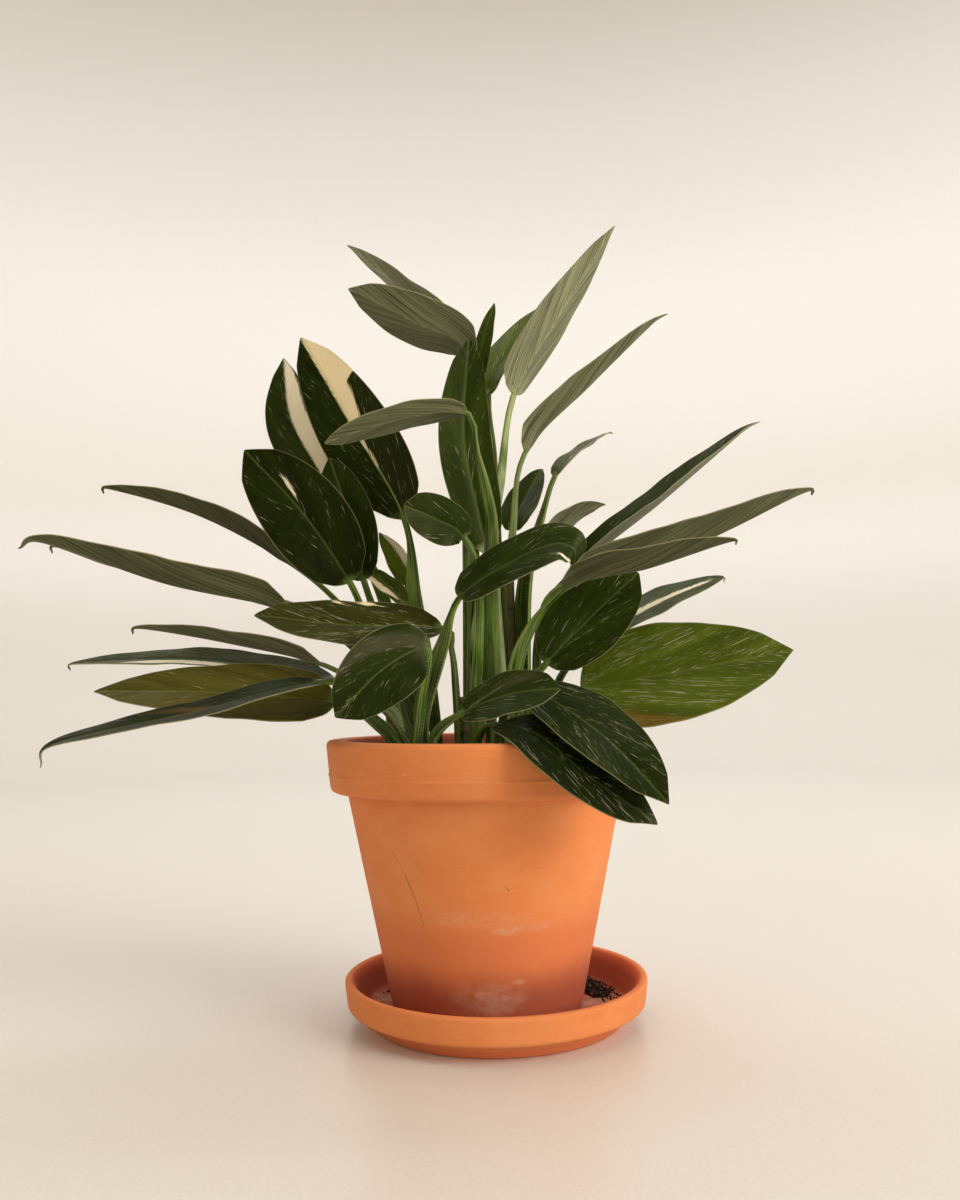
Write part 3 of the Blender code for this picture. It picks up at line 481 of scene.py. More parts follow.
def makeLeaf(name, form, index, materials):
    s = leafShape
    path, length, neck = leafPath(form)
    bladeLength = length[-1] - neck
    u = np.linspace(0, 1, s["bladeRows"])
    t = u ** 1.35 * (1 - u) + u * (1 - (1 - u) ** 1.2)      # closer rows at the base and at the tip
    place, ahead = alongPath(path, length, neck + bladeLength * t)
    up = np.array(form["face"], float)
    acrosses, ups = [], []
    for direction in ahead:                                  # the face carried along without a twist
        side = unit(np.cross(direction, up))
        up = unit(np.cross(side, direction))
        acrosses.append(side)
        ups.append(up)
    look = form.get("look", {})
    bend = np.maximum(0, (t - 0.9) / 0.1)[:, None] ** 2      # the tip turns back towards the underside
    place = place - np.array(ups) * bend * look.get("hook", 0.8)
    flat = np.minimum(1, t / s["flatFade"])
    half = s["tipHalf"] + (s["neckHalf"] - s["tipHalf"]) * (1 - t)
    half += (form["width"] / 2 - s["neckHalf"] / 2) * bladeOutline(t, *form.get("shape", (0.5, 0.8)))
    thick = s["ribThick"] - s["ribThins"] * t
    thick += (s["neckThick"] - s["ribThick"]) * np.maximum(0, 1 - t / s["ribFade"])
    fold = math.radians(look.get("fold", form["fold"]))
    fold = fold * np.minimum(1, t / s["foldFade"]) * (1 - s["foldLoss"] * t)
    wave = s["wave"] * np.sin(math.pi * t) * np.sin(2 * math.pi * s["waves"] * t + 2.4 * index)
    sweep = s["lobeBack"] * np.maximum(0, 1 - t / s["lobeEnd"]) ** 2 * flat
    blade = dict(place=place, ahead=ahead, across=np.array(acrosses), up=np.array(ups), half=half,
                 thick=thick, edge=np.full_like(t, s["edge"]), flat=flat, fold=fold, lift=wave, sweep=sweep, v=t)

    h = np.concatenate([[0], np.linspace(0.012, 0.99, s["stalkRows"])])     # share of the way up the stalk
    place, ahead = alongPath(path, length, neck * h)
    straight = np.clip(1 - h / 0.1, 0, 1)[:, None]
    ahead = unit(ahead * (1 - straight) + np.array([0, 0, 1.0]) * straight)
    side = np.array(acrosses[0])
    sides = []
    for direction in ahead[::-1]:
        side = unit(side - direction * side.dot(direction))
        sides.append(side)
    sides = np.array(sides[::-1])
    wing = form.get("wing", 3.2) - s["stalkHalf"]
    swell = np.where(h < s["sheathEnd"], np.sin(math.pi * h / s["sheathEnd"]), 0)
    stalk = dict(place=place, ahead=ahead, across=sides, up=unit(np.cross(sides, ahead)),
                 half=s["stalkHalf"] + (s["neckHalf"] - s["stalkHalf"]) * h + wing * swell,
                 thick=s["stalkThick"] + (s["neckThick"] - s["stalkThick"]) * h,
                 edge=s["stalkEdge"] + (s["sheathEdge"] - s["stalkEdge"]) * swell,
                 flat=0 * h, fold=0 * h, lift=s["sheathCup"] * wing * swell, sweep=0 * h, v=h - 1)
    foot = {key: np.copy(value[:1]) for key, value in stalk.items()}
    foot["place"][0, 2] = s["soilZ"] - s["rootDeep"]
    row = {key: np.concatenate([foot[key], stalk[key], blade[key]]) for key in blade}

    spread = np.linspace(-1, 1, s["across"])
    a = np.sign(spread) * np.abs(spread) ** 1.2              # closer points at the midrib
    col = {key: (value[:, None, :] if value.ndim == 2 else value[:, None]) for key, value in row.items()}
    crosswise = a[None, :]
    far = np.abs(crosswise)
    alongMm = col["v"] * np.where(col["v"] < 0, neck, bladeLength)
    widthMm = col["half"] * far
    # where the side vein through a point leaves the midrib
    veinFoot = alongMm - (s["veinLean"] * widthMm + s["veinBow"] * widthMm**2) * col["flat"]
    side = crosswise * col["half"] * np.cos(col["fold"])
    lift = far * col["half"] * np.sin(col["fold"]) + col["lift"] * crosswise**2
    seed = index * 7.31
    pleat = np.sin(2 * math.pi * veinFoot / s["pleatMm"] + seed) * s["pleat"] * col["half"]
    pleat = pleat * np.minimum(1, 4 * far) * (1 - far**4) * np.minimum(1, (1 - col["v"]) * 8)
    ripple = np.sin(2 * math.pi * alongMm / s["rippleMm"] + seed + 0.9 * np.sign(crosswise))
    ripple = ripple * s["ripple"] * col["half"] * far**3 * np.sin(math.pi * np.clip(col["v"], 0, 1))
    lift = lift + (pleat + ripple) * col["flat"]
    middle = (col["place"] + col["across"] * side[..., None] + col["up"] * lift[..., None]
              - col["ahead"] * (col["sweep"] * crosswise**2)[..., None])
    roundShare = 1 - crosswise**2
    share = roundShare + ((1 - far) ** 2 - roundShare) * col["flat"]
    thick = col["edge"] + (col["thick"] - col["edge"]) * share
    above = thick / 2 + (s["top"] - thick / 2) * col["flat"]
    dip = s["groove"] * np.exp(-(widthMm / s["grooveHalf"]) ** 2) * col["flat"]
    topFace = middle + col["up"] * (above - dip)[..., None]
    underFace = middle - col["up"] * (thick - above)[..., None]
    points = np.concatenate([topFace, underFace[:, ::-1]], 1)
    rows, wide = points.shape[:2]
    n = s["across"]
    faces = ringFaces(rows, wide)
    capLow = [(k, 2 * n - 1 - k, 2 * n - 2 - k, k + 1) for k in range(n - 1)]
    last = (rows - 1) * wide
    capHigh = [(last + k + 1, last + 2 * n - 2 - k, last + 2 * n - 1 - k, last + k) for k in range(n - 1)]
    faces += capLow + capHigh
    onTop = np.zeros((rows - 1, wide), np.int32) + 1
    onTop[:, :n - 1] = 0
    indices = np.concatenate([onTop.ravel(), np.ones(2 * (n - 1), np.int32)])

    def both(values):
        values = np.broadcast_to(values, (rows, n))
        return np.concatenate([values, values[:, ::-1]], 1).ravel()

    forms = np.stack([both(crosswise), both(col["v"])], -1)
    sizes = np.stack([both(crosswise * col["half"]), both(veinFoot)], -1)
    ones = np.ones(rows * wide)
    marks = {}
    for mark, soft in (("cream", 8), ("brown", 26), ("dull", 14)):      # mm over which a patch fades in
        depth = patchDepth(look.get(mark, []), col["v"], crosswise, col["half"], bladeLength)
        marks[mark] = both(np.clip(0.5 + depth / soft, 0, 1))
    marks.update(
        yellow=ones * look.get("yellow", 0),
        onBlade=both(col["flat"]), tone=ones * look.get("tone", 0), flecky=ones * look.get("flecky", 0.3),
        palest=ones * look.get("palest", 0.1), ribbed=ones * look.get("ribbed", 0.2),
        olive=ones * look.get("olive", 0),
        seed=ones * index * 3.7)
    putPiece(name + "_grown", points.reshape(-1, 3) * mm, faces, materials, name, 50, indices,
             dict(leafForm=forms, leafSize=sizes), marks)


# Where each leaf grows, in mm: its root, points up its stalk, points along its blade to the tip.
# In look, tone runs from -1 dark to 1 bright, and below -1 darkens undersides as painted shade; flecky is how many
# white flecks, and the patches are (t, low a, high a) with t from the blade's base to its tip and a from the midrib to
# either margin.
leafForms = {
    "leaf_top_right": dict(root=(17, -8), stalk=[(9, -9, 300), (15, -13, 357)],
        blade=[(24, -16, 412), (56, -36, 463), (89, -58, 510)],
        width=32, face=(-0.6, 0.75, 0.55), fold=18, wing=6, shape=(0.4, 0.9),
        look=dict(tone=0.7, flecky=0.2, palest=0.6)),
    "leaf_top_right_back": dict(root=(14, 10), stalk=[(12, 12, 302), (10, 13, 374)],
        blade=[(7, 16, 422), (22, 34, 459), (54, 58, 506)],
        width=30, face=(-0.5, -0.8, 0.3), fold=20, wing=4,
        look=dict(tone=0.5)),
    "leaf_top_small": dict(root=(6, 4), stalk=[(6, 3, 301), (7, 2, 378)],
        blade=[(0, 0, 430), (4, -2, 457), (12, -4, 481)],
        width=12, face=(0.4, -0.9, 0), fold=20, wing=3.5,
        look=dict(tone=0.25, palest=0.4)),
    "leaf_top_left": dict(root=(-10, 2), stalk=[(-6, 2, 301), (-9, 3, 379)],
        blade=[(-7, 4, 448), (-45, -12, 466), (-87, -26, 484)],
        width=40, face=(0.35, 0.7, 0.6), fold=10, wing=5, shape=(0.5, 0.7),
        look=dict(tone=-0.3, flecky=0.3)),
    "leaf_top_left_back": dict(root=(-12, 14), stalk=[(-11, 14, 303), (-12, 17, 389)],
        blade=[(-13, 20, 462), (-53, 34, 506), (-97, 50, 550)],
        width=24, face=(0.5, 0.35, 0.85), fold=12, wing=4,
        look=dict(tone=0.6)),
    "leaf_centre_tall": dict(root=(-4, -10), stalk=[(-3, -13, 245)],
        blade=[(3, -14, 304), (-10, -18, 380), (-6, -10, 454)],
        width=36, face=(0.1, -1, 0.1), fold=22, wing=6, shape=(0.5, 0.6),
        look=dict(tone=0.1, flecky=0.2, palest=0.9, fold=10)),
    "leaf_centre_cross": dict(root=(4, -26), stalk=[(3, -29, 271), (5, -31, 323), (-2, -33, 366)],
        blade=[(-9, -35, 394), (-52, -48, 387), (-98, -60, 369)],
        width=25, face=(0, 0.5, 0.85), fold=5, wing=8, shape=(0.5, 0.5),
        look=dict(tone=-0.5)),
    "leaf_cream_half": dict(root=(-44, 34), stalk=[(-70, 40, 278)],
        blade=[(-111, 50, 362), (-142, 64, 419), (-151, 76, 472)],
        width=42, face=(-0.2, -0.95, 0.25), fold=10, wing=5,
        look=dict(tone=-0.2, flecky=0.4, cream=[[(0.0, 0.0, 0.5), (0.5, 0.0, 0.62), (0.85, 0.0, 0.8), (1.0, 0.0, 1.0)], [(0.1, 0.7, 0.95), (0.35, 0.75, 1.05)]])),
    "leaf_cream_tip": dict(root=(-30, 18), stalk=[(-46, 18, 269)],
        blade=[(-54, 20, 334), (-93, 30, 406), (-131, 38, 474)],
        width=54, face=(-0.15, -0.9, 0.35), fold=10, wing=7, shape=(0.5, 0.7),
        look=dict(tone=-0.9, flecky=0.3, ribbed=0.9, cream=[[(0.4, 0.0, 0.06), (0.5, 0.0, 0.28), (0.62, 0.0, 0.48), (0.7, 0.0, 0.6), (0.73, 0.0, 1.05), (1.02, 0.0, 1.05)]], yellow=1.0)),
    "leaf_left_large": dict(root=(-44, -6), stalk=[(-74, -4, 247)],
        blade=[(-89, -7, 286), (-120, -14, 333), (-157, -24, 374)],
        width=56, face=(-0.2, -0.85, 0.45), fold=10, wing=5, shape=(0.5, 0.62),
        look=dict(tone=-1, flecky=0.25, cream=[[(0.62, 0.13, 0.24), (0.72, 0.16, 0.28)]])),
    "leaf_left_shaded": dict(root=(-34, 0), stalk=[(-63, 3, 240)],
        blade=[(-81, 5, 289), (-90, 6, 331), (-105, 8, 376)],
        width=34, face=(-0.1, -0.9, 0.4), fold=14, wing=5, shape=(0.5, 0.6),
        look=dict(tone=-0.5)),
    "leaf_inner_left": dict(root=(-40, 27), stalk=[(-50, 30, 249)],
        blade=[(-53, 32, 289), (-61, 32, 309), (-73, 31, 326)],
        width=16, face=(-0.3, -0.9, 0.3), fold=10,
        look=dict(tone=1.0, cream=[[(0.1, 0.35, 1.05), (0.95, 0.35, 1.05)]])),
    "leaf_inner_low": dict(root=(-47, 11), stalk=[(-53, 10, 248)],
        blade=[(-55, 12, 274), (-69, 15, 289), (-86, 16, 299)],
        width=14, face=(0, -0.6, 0.8), fold=10,
        look=dict(tone=0.3, cream=[[(0.2, -1.05, -0.4), (1.02, -1.05, -0.4)]], yellow=0.8)),
    "leaf_centre_small": dict(root=(-8, -32), stalk=[(-2, -37, 276)],
        blade=[(-11, -41, 310), (-29, -56, 320), (-47, -70, 326)],
        width=30, face=(0, -0.85, 0.5), fold=10, wing=4, shape=(0.45, 0.45),
        look=dict(tone=-0.5)),
    "leaf_centre_curved": dict(root=(-34, -46), stalk=[(-37, -49, 194), (-24, -51, 239)],
        blade=[(-14, -52, 270), (18, -58, 291), (45, -62, 302), (58, -62, 298), (58, -56, 290)],
        width=34, face=(-0.3, -0.75, 0.6), fold=8, wing=8, shape=(0.3, 0.25),
        look=dict(tone=-0.3, flecky=0.5, cream=[[(0.86, 0.6, 1.05), (0.93, 0.6, 1.05)]], hook=0)),
    "leaf_left_level": dict(root=(-16, -28), stalk=[(-18, -30, 212), (-20, -33, 238)],
        blade=[(-26, -38, 252), (-86, -52, 254), (-140, -66, 260)],
        width=38, face=(-0.05, -0.75, 0.65), fold=8, wing=5, shape=(0.5, 0.6),
        look=dict(tone=-0.6, flecky=0.5, cream=[[(0.36, 0.82, 1.0), (0.45, 0.82, 1.0)], [(0.54, 0.84, 0.97), (0.6, 0.84, 0.97)]], olive=0.12, yellow=0.9)),
    "leaf_left_hanging": dict(root=(-43, -57), stalk=[(-38, -62, 206)],
        blade=[(-34, -65, 237), (-59, -76, 226), (-87, -88, 197)],
        width=44, face=(-0.3, -0.75, 0.6), fold=8, wing=4, shape=(0.45, 0.6),
        look=dict(tone=-0.6, flecky=0.5, dull=[[(0.02, -0.3, 1.1), (0.25, -0.1, 1.1), (0.45, 0.3, 1.1)]])),
    "leaf_left_high": dict(root=(-56, 21), stalk=[(-64, 24, 220), (-97, 28, 270)],
        blade=[(-138, 36, 306), (-208, 54, 345), (-280, 70, 369), (-287, 72, 366)],
        width=26, face=(0.35, 0.35, 0.9), fold=8, wing=5,
        look=dict(tone=-1.7, fold=46, hook=0)),
    "leaf_left_hooked": dict(root=(-60, -9), stalk=[(-60, -14, 207), (-91, -18, 246)],
        blade=[(-127, -24, 267), (-204, -38, 284), (-276, -52, 309), (-292, -54, 305)],
        width=36, face=(0.1, 0.45, 0.9), fold=12, wing=5, shape=(0.4, 0.8),
        look=dict(tone=-1.4, cream=[[(0.57, 0.55, 1.05), (0.66, 0.55, 1.05)]], fold=34, hook=0)),
    "leaf_left_hooked_back": dict(root=(-58, 4), stalk=[(-67, 6, 220), (-98, 8, 254)],
        blade=[(-136, 12, 275), (-219, 20, 295), (-299, 28, 318), (-306, 28, 314)],
        width=22, face=(0.1, 0.3, 1), fold=8, wing=4,
        look=dict(tone=-1.5, fold=28, hook=0)),
    "leaf_left_thin": dict(root=(-67, 11), stalk=[(-68, 13, 203)],
        blade=[(-112, 22, 232), (-180, 36, 249), (-247, 48, 261), (-255, 50, 257)],
        width=24, face=(0.1, 0.2, 1), fold=6, wing=4,
        look=dict(tone=-1.5, fold=40, hook=0)),
    "leaf_left_striped": dict(root=(-53, -20), stalk=[(-59, -26, 199)],
        blade=[(-97, -24, 220), (-188, -14, 235), (-267, -14, 234), (-274, -14, 229)],
        width=38, face=(0, -0.35, 1), fold=8, wing=5,
        look=dict(tone=-0.2, flecky=0.4, cream=[[(0.17, -0.9, -0.4), (0.5, -0.9, -0.3), (0.74, -0.8, -0.4)]], hook=0)),
    "leaf_left_olive": dict(root=(-46, -32), stalk=[(-66, -42, 189)],
        blade=[(-93, -50, 205), (-171, -52, 213), (-244, -50, 215)],
        width=48, face=(0, -0.7, 0.7), fold=8, wing=6, shape=(0.35, 0.75),
        look=dict(tone=0.1, flecky=0.3, olive=0.45)),
    "leaf_left_trailing": dict(root=(-42, -44), stalk=[(-61, -58, 200)],
        blade=[(-96, -72, 218), (-171, -92, 201), (-244, -104, 185), (-253, -104, 171)],
        width=25, face=(0, -0.4, 0.95), fold=8, wing=4,
        look=dict(tone=-0.8, flecky=0.3, brown=[[(0.4, -0.3, 0.4), (0.44, -0.3, 0.4)]], hook=0)),
    "leaf_right_slender": dict(root=(24, 12), stalk=[(20, 11, 260), (23, 8, 323)],
        blade=[(32, 4, 377), (78, -8, 422), (127, -20, 467)],
        width=28, face=(-0.65, 0.35, 0.65), fold=10, wing=6, shape=(0.35, 0.9),
        look=dict(tone=-0.3, palest=0.3, fold=40, hook=3)),
    "leaf_right_twisted": dict(root=(29, -4), stalk=[(31, -3, 273), (40, -4, 320)],
        blade=[(52, -4, 359), (73, 10, 381), (95, 26, 397)],
        width=22, face=(-0.5, -0.4, 0.8), fold=8, wing=9,
        look=dict(tone=0.4, hook=2)),
    "leaf_right_behind": dict(root=(20, 22), stalk=[(19, 26, 276)],
        blade=[(23, 34, 327), (34, 48, 355), (47, 60, 379)],
        width=26, face=(-0.3, -0.9, 0.2), fold=12, wing=6,
        look=dict(hook=2)),
    "leaf_right_short": dict(root=(30, 22), stalk=[(30, 23, 268)],
        blade=[(42, 28, 311), (65, 40, 336), (91, 50, 349)],
        width=22, face=(-0.3, 0.45, 0.9), fold=8, wing=4,
        look=dict(hook=2, tone=-0.4)),
    "leaf_right_spear": dict(root=(38, 12), stalk=[(40, 12, 253)],
        blade=[(62, 15, 292), (130, 28, 346), (205, 42, 409)],
        width=32, face=(-0.5, -0.35, 0.8), fold=8, wing=5,
        look=dict(tone=-0.1, fold=38, hook=3)),
    "leaf_right_long": dict(root=(38, 2), stalk=[(39, -2, 248)],
        blade=[(56, -6, 283), (141, -10, 307), (216, -14, 341), (224, -14, 340)],
        width=38, face=(-0.2, 0.4, 0.9), fold=8, wing=5,
        look=dict(tone=-1.3, fold=44, hook=0)),
    "leaf_right_blunt": dict(root=(26, -28), stalk=[(24, -34, 228)],
        blade=[(52, -41, 275), (105, -58, 287), (151, -72, 300), (156, -74, 298)],
        width=32, face=(-0.2, 0.35, 0.95), fold=6, wing=8,
        look=dict(tone=-1.5, fold=40, hook=0)),
    "leaf_right_paired": dict(root=(42, 24), stalk=[(54, 24, 219)],
        blade=[(86, 30, 250), (130, 46, 275), (176, 60, 293), (181, 62, 290)],
        width=34, face=(-0.2, -0.5, 0.85), fold=8, wing=4,
        look=dict(tone=0.2, cream=[[(0.2, -0.2, 0.12), (0.85, -0.15, 0.1)]], hook=0)),
    "leaf_right_large": dict(root=(44, -8), stalk=[(46, -4, 201)],
        blade=[(66, -4, 211), (144, -12, 225), (205, -18, 236)],
        width=76, face=(0.05, -0.85, 0.5), fold=6, wing=6, shape=(0.4, 0.72),
        look=dict(tone=0.5, flecky=0.7, brown=[[(0.1, 0.45, 1.1), (0.34, 0.6, 1.1)]])),
    "leaf_right_shaded": dict(root=(34, -18), stalk=[(31, -17, 212)],
        blade=[(42, -15, 229), (72, -15, 259), (105, -15, 289)],
        width=50, face=(0.1, -0.85, 0.45), fold=10, wing=6, shape=(0.5, 0.6),
        look=dict(tone=-0.1, flecky=0.5)),
    "leaf_front_level": dict(root=(-32, -60), stalk=[(-29, -68, 184)],
        blade=[(-13, -76, 198), (16, -90, 209), (44, -100, 212)],
        width=32, face=(0, -0.75, 0.7), fold=8, wing=5, shape=(0.5, 0.5),
        look=dict(tone=-0.2, flecky=0.5, dull=[[(0.5, -0.85, -0.3), (0.75, -0.8, -0.35)]])),
    "leaf_front_right": dict(root=(6, -42), stalk=[(14, -51, 198)],
        blade=[(26, -60, 213), (68, -97, 185), (101, -122, 148)],
        width=48, face=(0.3, -0.7, 0.65), fold=8, wing=5, shape=(0.6, 0.7),
        look=dict(tone=-0.6, flecky=0.6)),
    "leaf_front_under": dict(root=(-8, -54), stalk=[(-1, -62, 186)],
        blade=[(7, -70, 191), (30, -95, 186), (59, -111, 162), (96, -114, 136)],
        width=44, face=(0.1, -0.55, 0.85), fold=6, wing=5, shape=(0.7, 0.7),
        look=dict(tone=-1.0, flecky=0.6)),
}


leafTopMaterial = leafMaterial("waxedLeafTop", True)
leafUnderMaterial = leafMaterial("ribbedLeafUnder", False)
for index, (name, form) in enumerate(leafForms.items()):
    makeLeaf(name, form, index, [leafTopMaterial, leafUnderMaterial])
print("leaves grown:", len(leafForms))


# Potting soil: the plug in the pot, and what has spilled in the saucer
soilForm = dict(
    topZ=162, lowZ=20, rings=46, sides=150, bump=1.5, bumpMm=14, rough=0.5, roughMm=3.4,
    crumbs=420, crumbMm=(1.6, 5.2), clear=0.3,
)
spillForms = {
    "spilled_soil": dict(
        angles=(2, 50), radii=(66, 83), height=4.5, grid=(150, 44), seed=3,
        grains=430, grainMm=(0.8, 2.6), strewn=360, over=((-14, 60), (64, 88))),
    "spilled_crumbs": dict(
        angles=(140, 162), radii=(66, 73), height=1.6, grid=(60, 22), seed=5,
        grains=90, grainMm=(0.7, 2.0), strewn=60, over=((128, 176), (64, 84))),
}
soilLook = dict(
    dark="#1c140e", brown="#4a3524", fibre="#7d6245", perlite="#b9b2a4", roughness=0.95, ior=1.4,
    lumpMm=4.8, grainMm=0.9, bitMm=2.4, reliefMm=1.2,
)


def soilMaterial():
    # Potting soil of peat and bark, crumbled and dry on top: matt, near black, with brown fibre and pale grains
    look = soilLook
    material, add, shader = startMaterial("crumbledPottingSoil", look["roughness"], look["ior"])
    place = add("TexCoord", {}).outputs["Object"]
    lumps = add("TexNoise", {}, place, Scale=1000 / look["lumpMm"], Detail=6, Roughness=0.7)
    grain = add("TexNoise", {}, place, Scale=1000 / look["grainMm"], Detail=3, Roughness=0.7)
    bits = add("TexVoronoi", {}, place, Scale=1000 / look["bitMm"])
    chosen = add("SeparateXYZ", {}, bits.outputs["Color"])
    colour = add("Mix", asColour, add("MapRange", smooth, lumps, 0.42, 0.68), look["dark"], look["brown"])
    picked = add("MapRange", smooth, chosen.outputs[0], 0.86, 0.9, 0, 0.7)
    colour = add("Mix", asColour, picked, colour, look["fibre"])
    picked = add("MapRange", smooth, chosen.outputs[1], 0.975, 0.985, 0, 0.8)
    colour = add("Mix", asColour, picked, colour, look["perlite"])
    material.node_tree.links.new(colour.outputs[2], shader.inputs["Base Color"])
    relief = add("Math", "MULTIPLY_ADD", grain, 0.6, lumps)
    bump = add("Bump", {}, Strength=0.8, Distance=look["reliefMm"] * mm, Height=relief)
    material.node_tree.links.new(bump.outputs[0], shader.inputs["Normal"])
    return material


def ballShape():
    # an icosphere of 42 points, the start of every crumb
    mesh = bpy.data.meshes.new("ball")
    bm = bmesh.new()
    bmesh.ops.create_icosphere(bm, subdivisions=2, radius=1)
    bm.to_mesh(mesh)
    bm.free()
    points = np.array([v.co[:] for v in mesh.vertices])
    faces = np.array([p.vertices[:] for p in mesh.polygons])
    bpy.data.meshes.remove(mesh)
    return points, faces


def lumpy(ball, size, seed):
    # a crumb: the ball squashed and knocked about
    stretch = rng.uniform(0.55, 1.0, 3) * size / 2
    turn = np.array(Matrix.Rotation(rng.uniform(0, 6.28), 3, Vector(rng.normal(size=3)).normalized()))
    knock = np.array([1 + 0.45 * noise.noise(Vector(p) * 1.7 + Vector((seed, 0, 0))) for p in ball])
    return (ball * knock[:, None] * stretch) @ turn.T


def scatter(spots, sizes, sunk=0.35):
    # crumbs at the given spots, as points and faces to be joined to what they lie on
    ball, ballFaces = ballShape()
    points, faces = [], []
    for n, (spot, size) in enumerate(zip(spots, sizes)):
        crumb = lumpy(ball, size, n * 3.3)
        crumb[:, 2] -= crumb[:, 2].min() + size * sunk * 0.5
        points.append(crumb + spot)
        faces.append(ballFaces + n * len(ball))
    return np.concatenate(points), np.concatenate(faces)


def soilHeight(x, y):
    f = soilForm
    h = f["bump"] * noise.noise((x / f["bumpMm"], y / f["bumpMm"], 1.0))
    return h + f["rough"] * noise.noise((x / f["roughMm"], y / f["roughMm"], 5.0))


def makeSoil(material):
    f = soilForm
    topR = innerRadius(f["topZ"]) - f["clear"]
    angles = np.linspace(0, 2 * math.pi, f["sides"], endpoint=False)
    rings = []
    lowR = innerRadius(f["lowZ"]) - f["clear"]
    for r, z in [(0.3, f["lowZ"]), (lowR, f["lowZ"]), (topR - 0.4, f["topZ"] - 1.8)]:
        rings.append([(r * math.cos(a), r * math.sin(a), z) for a in angles])
    for share in np.linspace(1, 0.004, f["rings"]):
        r = topR * share
        drop = -1.2 * max(0, share - 0.93) / 0.07
        ring = [(r * math.cos(a), r * math.sin(a)) for a in angles]
        rings.append([(x, y, f["topZ"] + drop + soilHeight(x, y)) for x, y in ring])
    points = np.array(rings).reshape(-1, 3)
    faces = ringFaces(len(rings), f["sides"])
    low, high = f["crumbMm"]
    spots, sizes = [], rng.uniform(0, 1, f["crumbs"]) ** 2.2 * (high - low) + low
    for size in sizes:
        angle, r = rng.uniform(0, 2 * math.pi), (topR - 3.5) * math.sqrt(rng.uniform(0.002, 1))
        x, y = r * math.cos(angle), r * math.sin(angle)
        spots.append((x, y, f["topZ"] + soilHeight(x, y)))
    more, moreFaces = scatter(np.array(spots), sizes)
    faces += (moreFaces + len(points)).tolist()
    putPiece("soilPlug", np.concatenate([points, more]) * mm, faces, [material], "soil", 60)


def makeSpill(name, f, material):
    start, end = (math.radians(v) for v in f["angles"])
    inner, outer = f["radii"]
    along, out = f["grid"]
    floorZ = 9.7
    rows, crown = [], []
    for i in range(along + 1):
        u = i / along
        angle = start + (end - start) * u
        narrow = math.sqrt(math.sin(math.pi * (0.12 + 0.76 * u)))
        row = []
        for j in range(out + 1):
            v = j / out
            inside = max(0.0, math.sin(math.pi * u) * math.sin(math.pi * v))
            r = (inner + outer) / 2 + (outer - inner) * (v - 0.5) * narrow
            r += 1.1 * noise.noise((u * 14, v * 3, f["seed"])) * (1 - inside)
            x, y = r * math.cos(angle), r * math.sin(angle)
            lump = 0.72 + 0.55 * noise.noise((x / 6, y / 6, f["seed"]))
            lump += 0.2 * noise.noise((x / 1.7, y / 1.7, f["seed"]))
            row.append((x, y, floorZ + 0.5 + f["height"] * max(0.05, lump) * inside**0.6))
        crown += row
        rows.append(row + [(x, y, floorZ) for x, y, z in reversed(row)])
    wide = 2 * (out + 1)
    points = np.array(rows).reshape(-1, 3)
    faces = [face[::-1] for face in ringFaces(len(rows), wide)]
    low = [(k + 1, k, wide - 1 - k, wide - 2 - k) for k in range(out)]
    last = along * wide
    faces += low + [tuple(last + c for c in reversed(face)) for face in low]
    low, high = f["grainMm"]
    sizes = rng.uniform(0, 1, f["grains"]) ** 1.8 * (high - low) + low
    picked = rng.integers(0, len(crown), f["grains"])
    spots = np.array(crown)[picked]
    turn, reach = f["over"]
    turns = np.radians(rng.triangular(turn[0], np.mean(turn), turn[1], f["strewn"]))
    reaches = rng.triangular(reach[0], reach[1] - 6, reach[1], f["strewn"])
    strewn = np.stack([saucerForm["x"] + reaches * np.cos(turns), reaches * np.sin(turns), turns * 0 + 9.5], -1)
    strewn = strewn[np.hypot(strewn[:, 0], strewn[:, 1]) > 63.5]          # not under the pot
    spots = np.concatenate([spots, strewn])
    sizes = np.concatenate([sizes, rng.uniform(0, 1, len(strewn)) ** 2 * 1.3 + 0.5])
    more, moreFaces = scatter(spots, sizes, 0.25)
    faces += (moreFaces + len(points)).tolist()
    putPiece(name + "_loose", np.concatenate([points, more]) * mm, faces, [material], name, 60)


pottingMix = soilMaterial()
makeSoil(pottingMix)
for name, form in spillForms.items():
    makeSpill(name, form, pottingMix)
print("soil laid")


# The two bare stems, ringed where old leaves stood
stemForms = {
    "stem_centre": dict(root=(-12, -20), radius=4.0, height=46, lean=(-2, 0)),
    "stem_right": dict(root=(20, 1), radius=3.0, height=140, lean=(0, 2)),
}
stemLook = dict(
    green="#4c5a22", bark="#6b5636", ring="#2b2413", roughness=0.6, ior=1.45,
    fibreMm=1.1, corkMm=6.2, reliefMm=0.5,
)


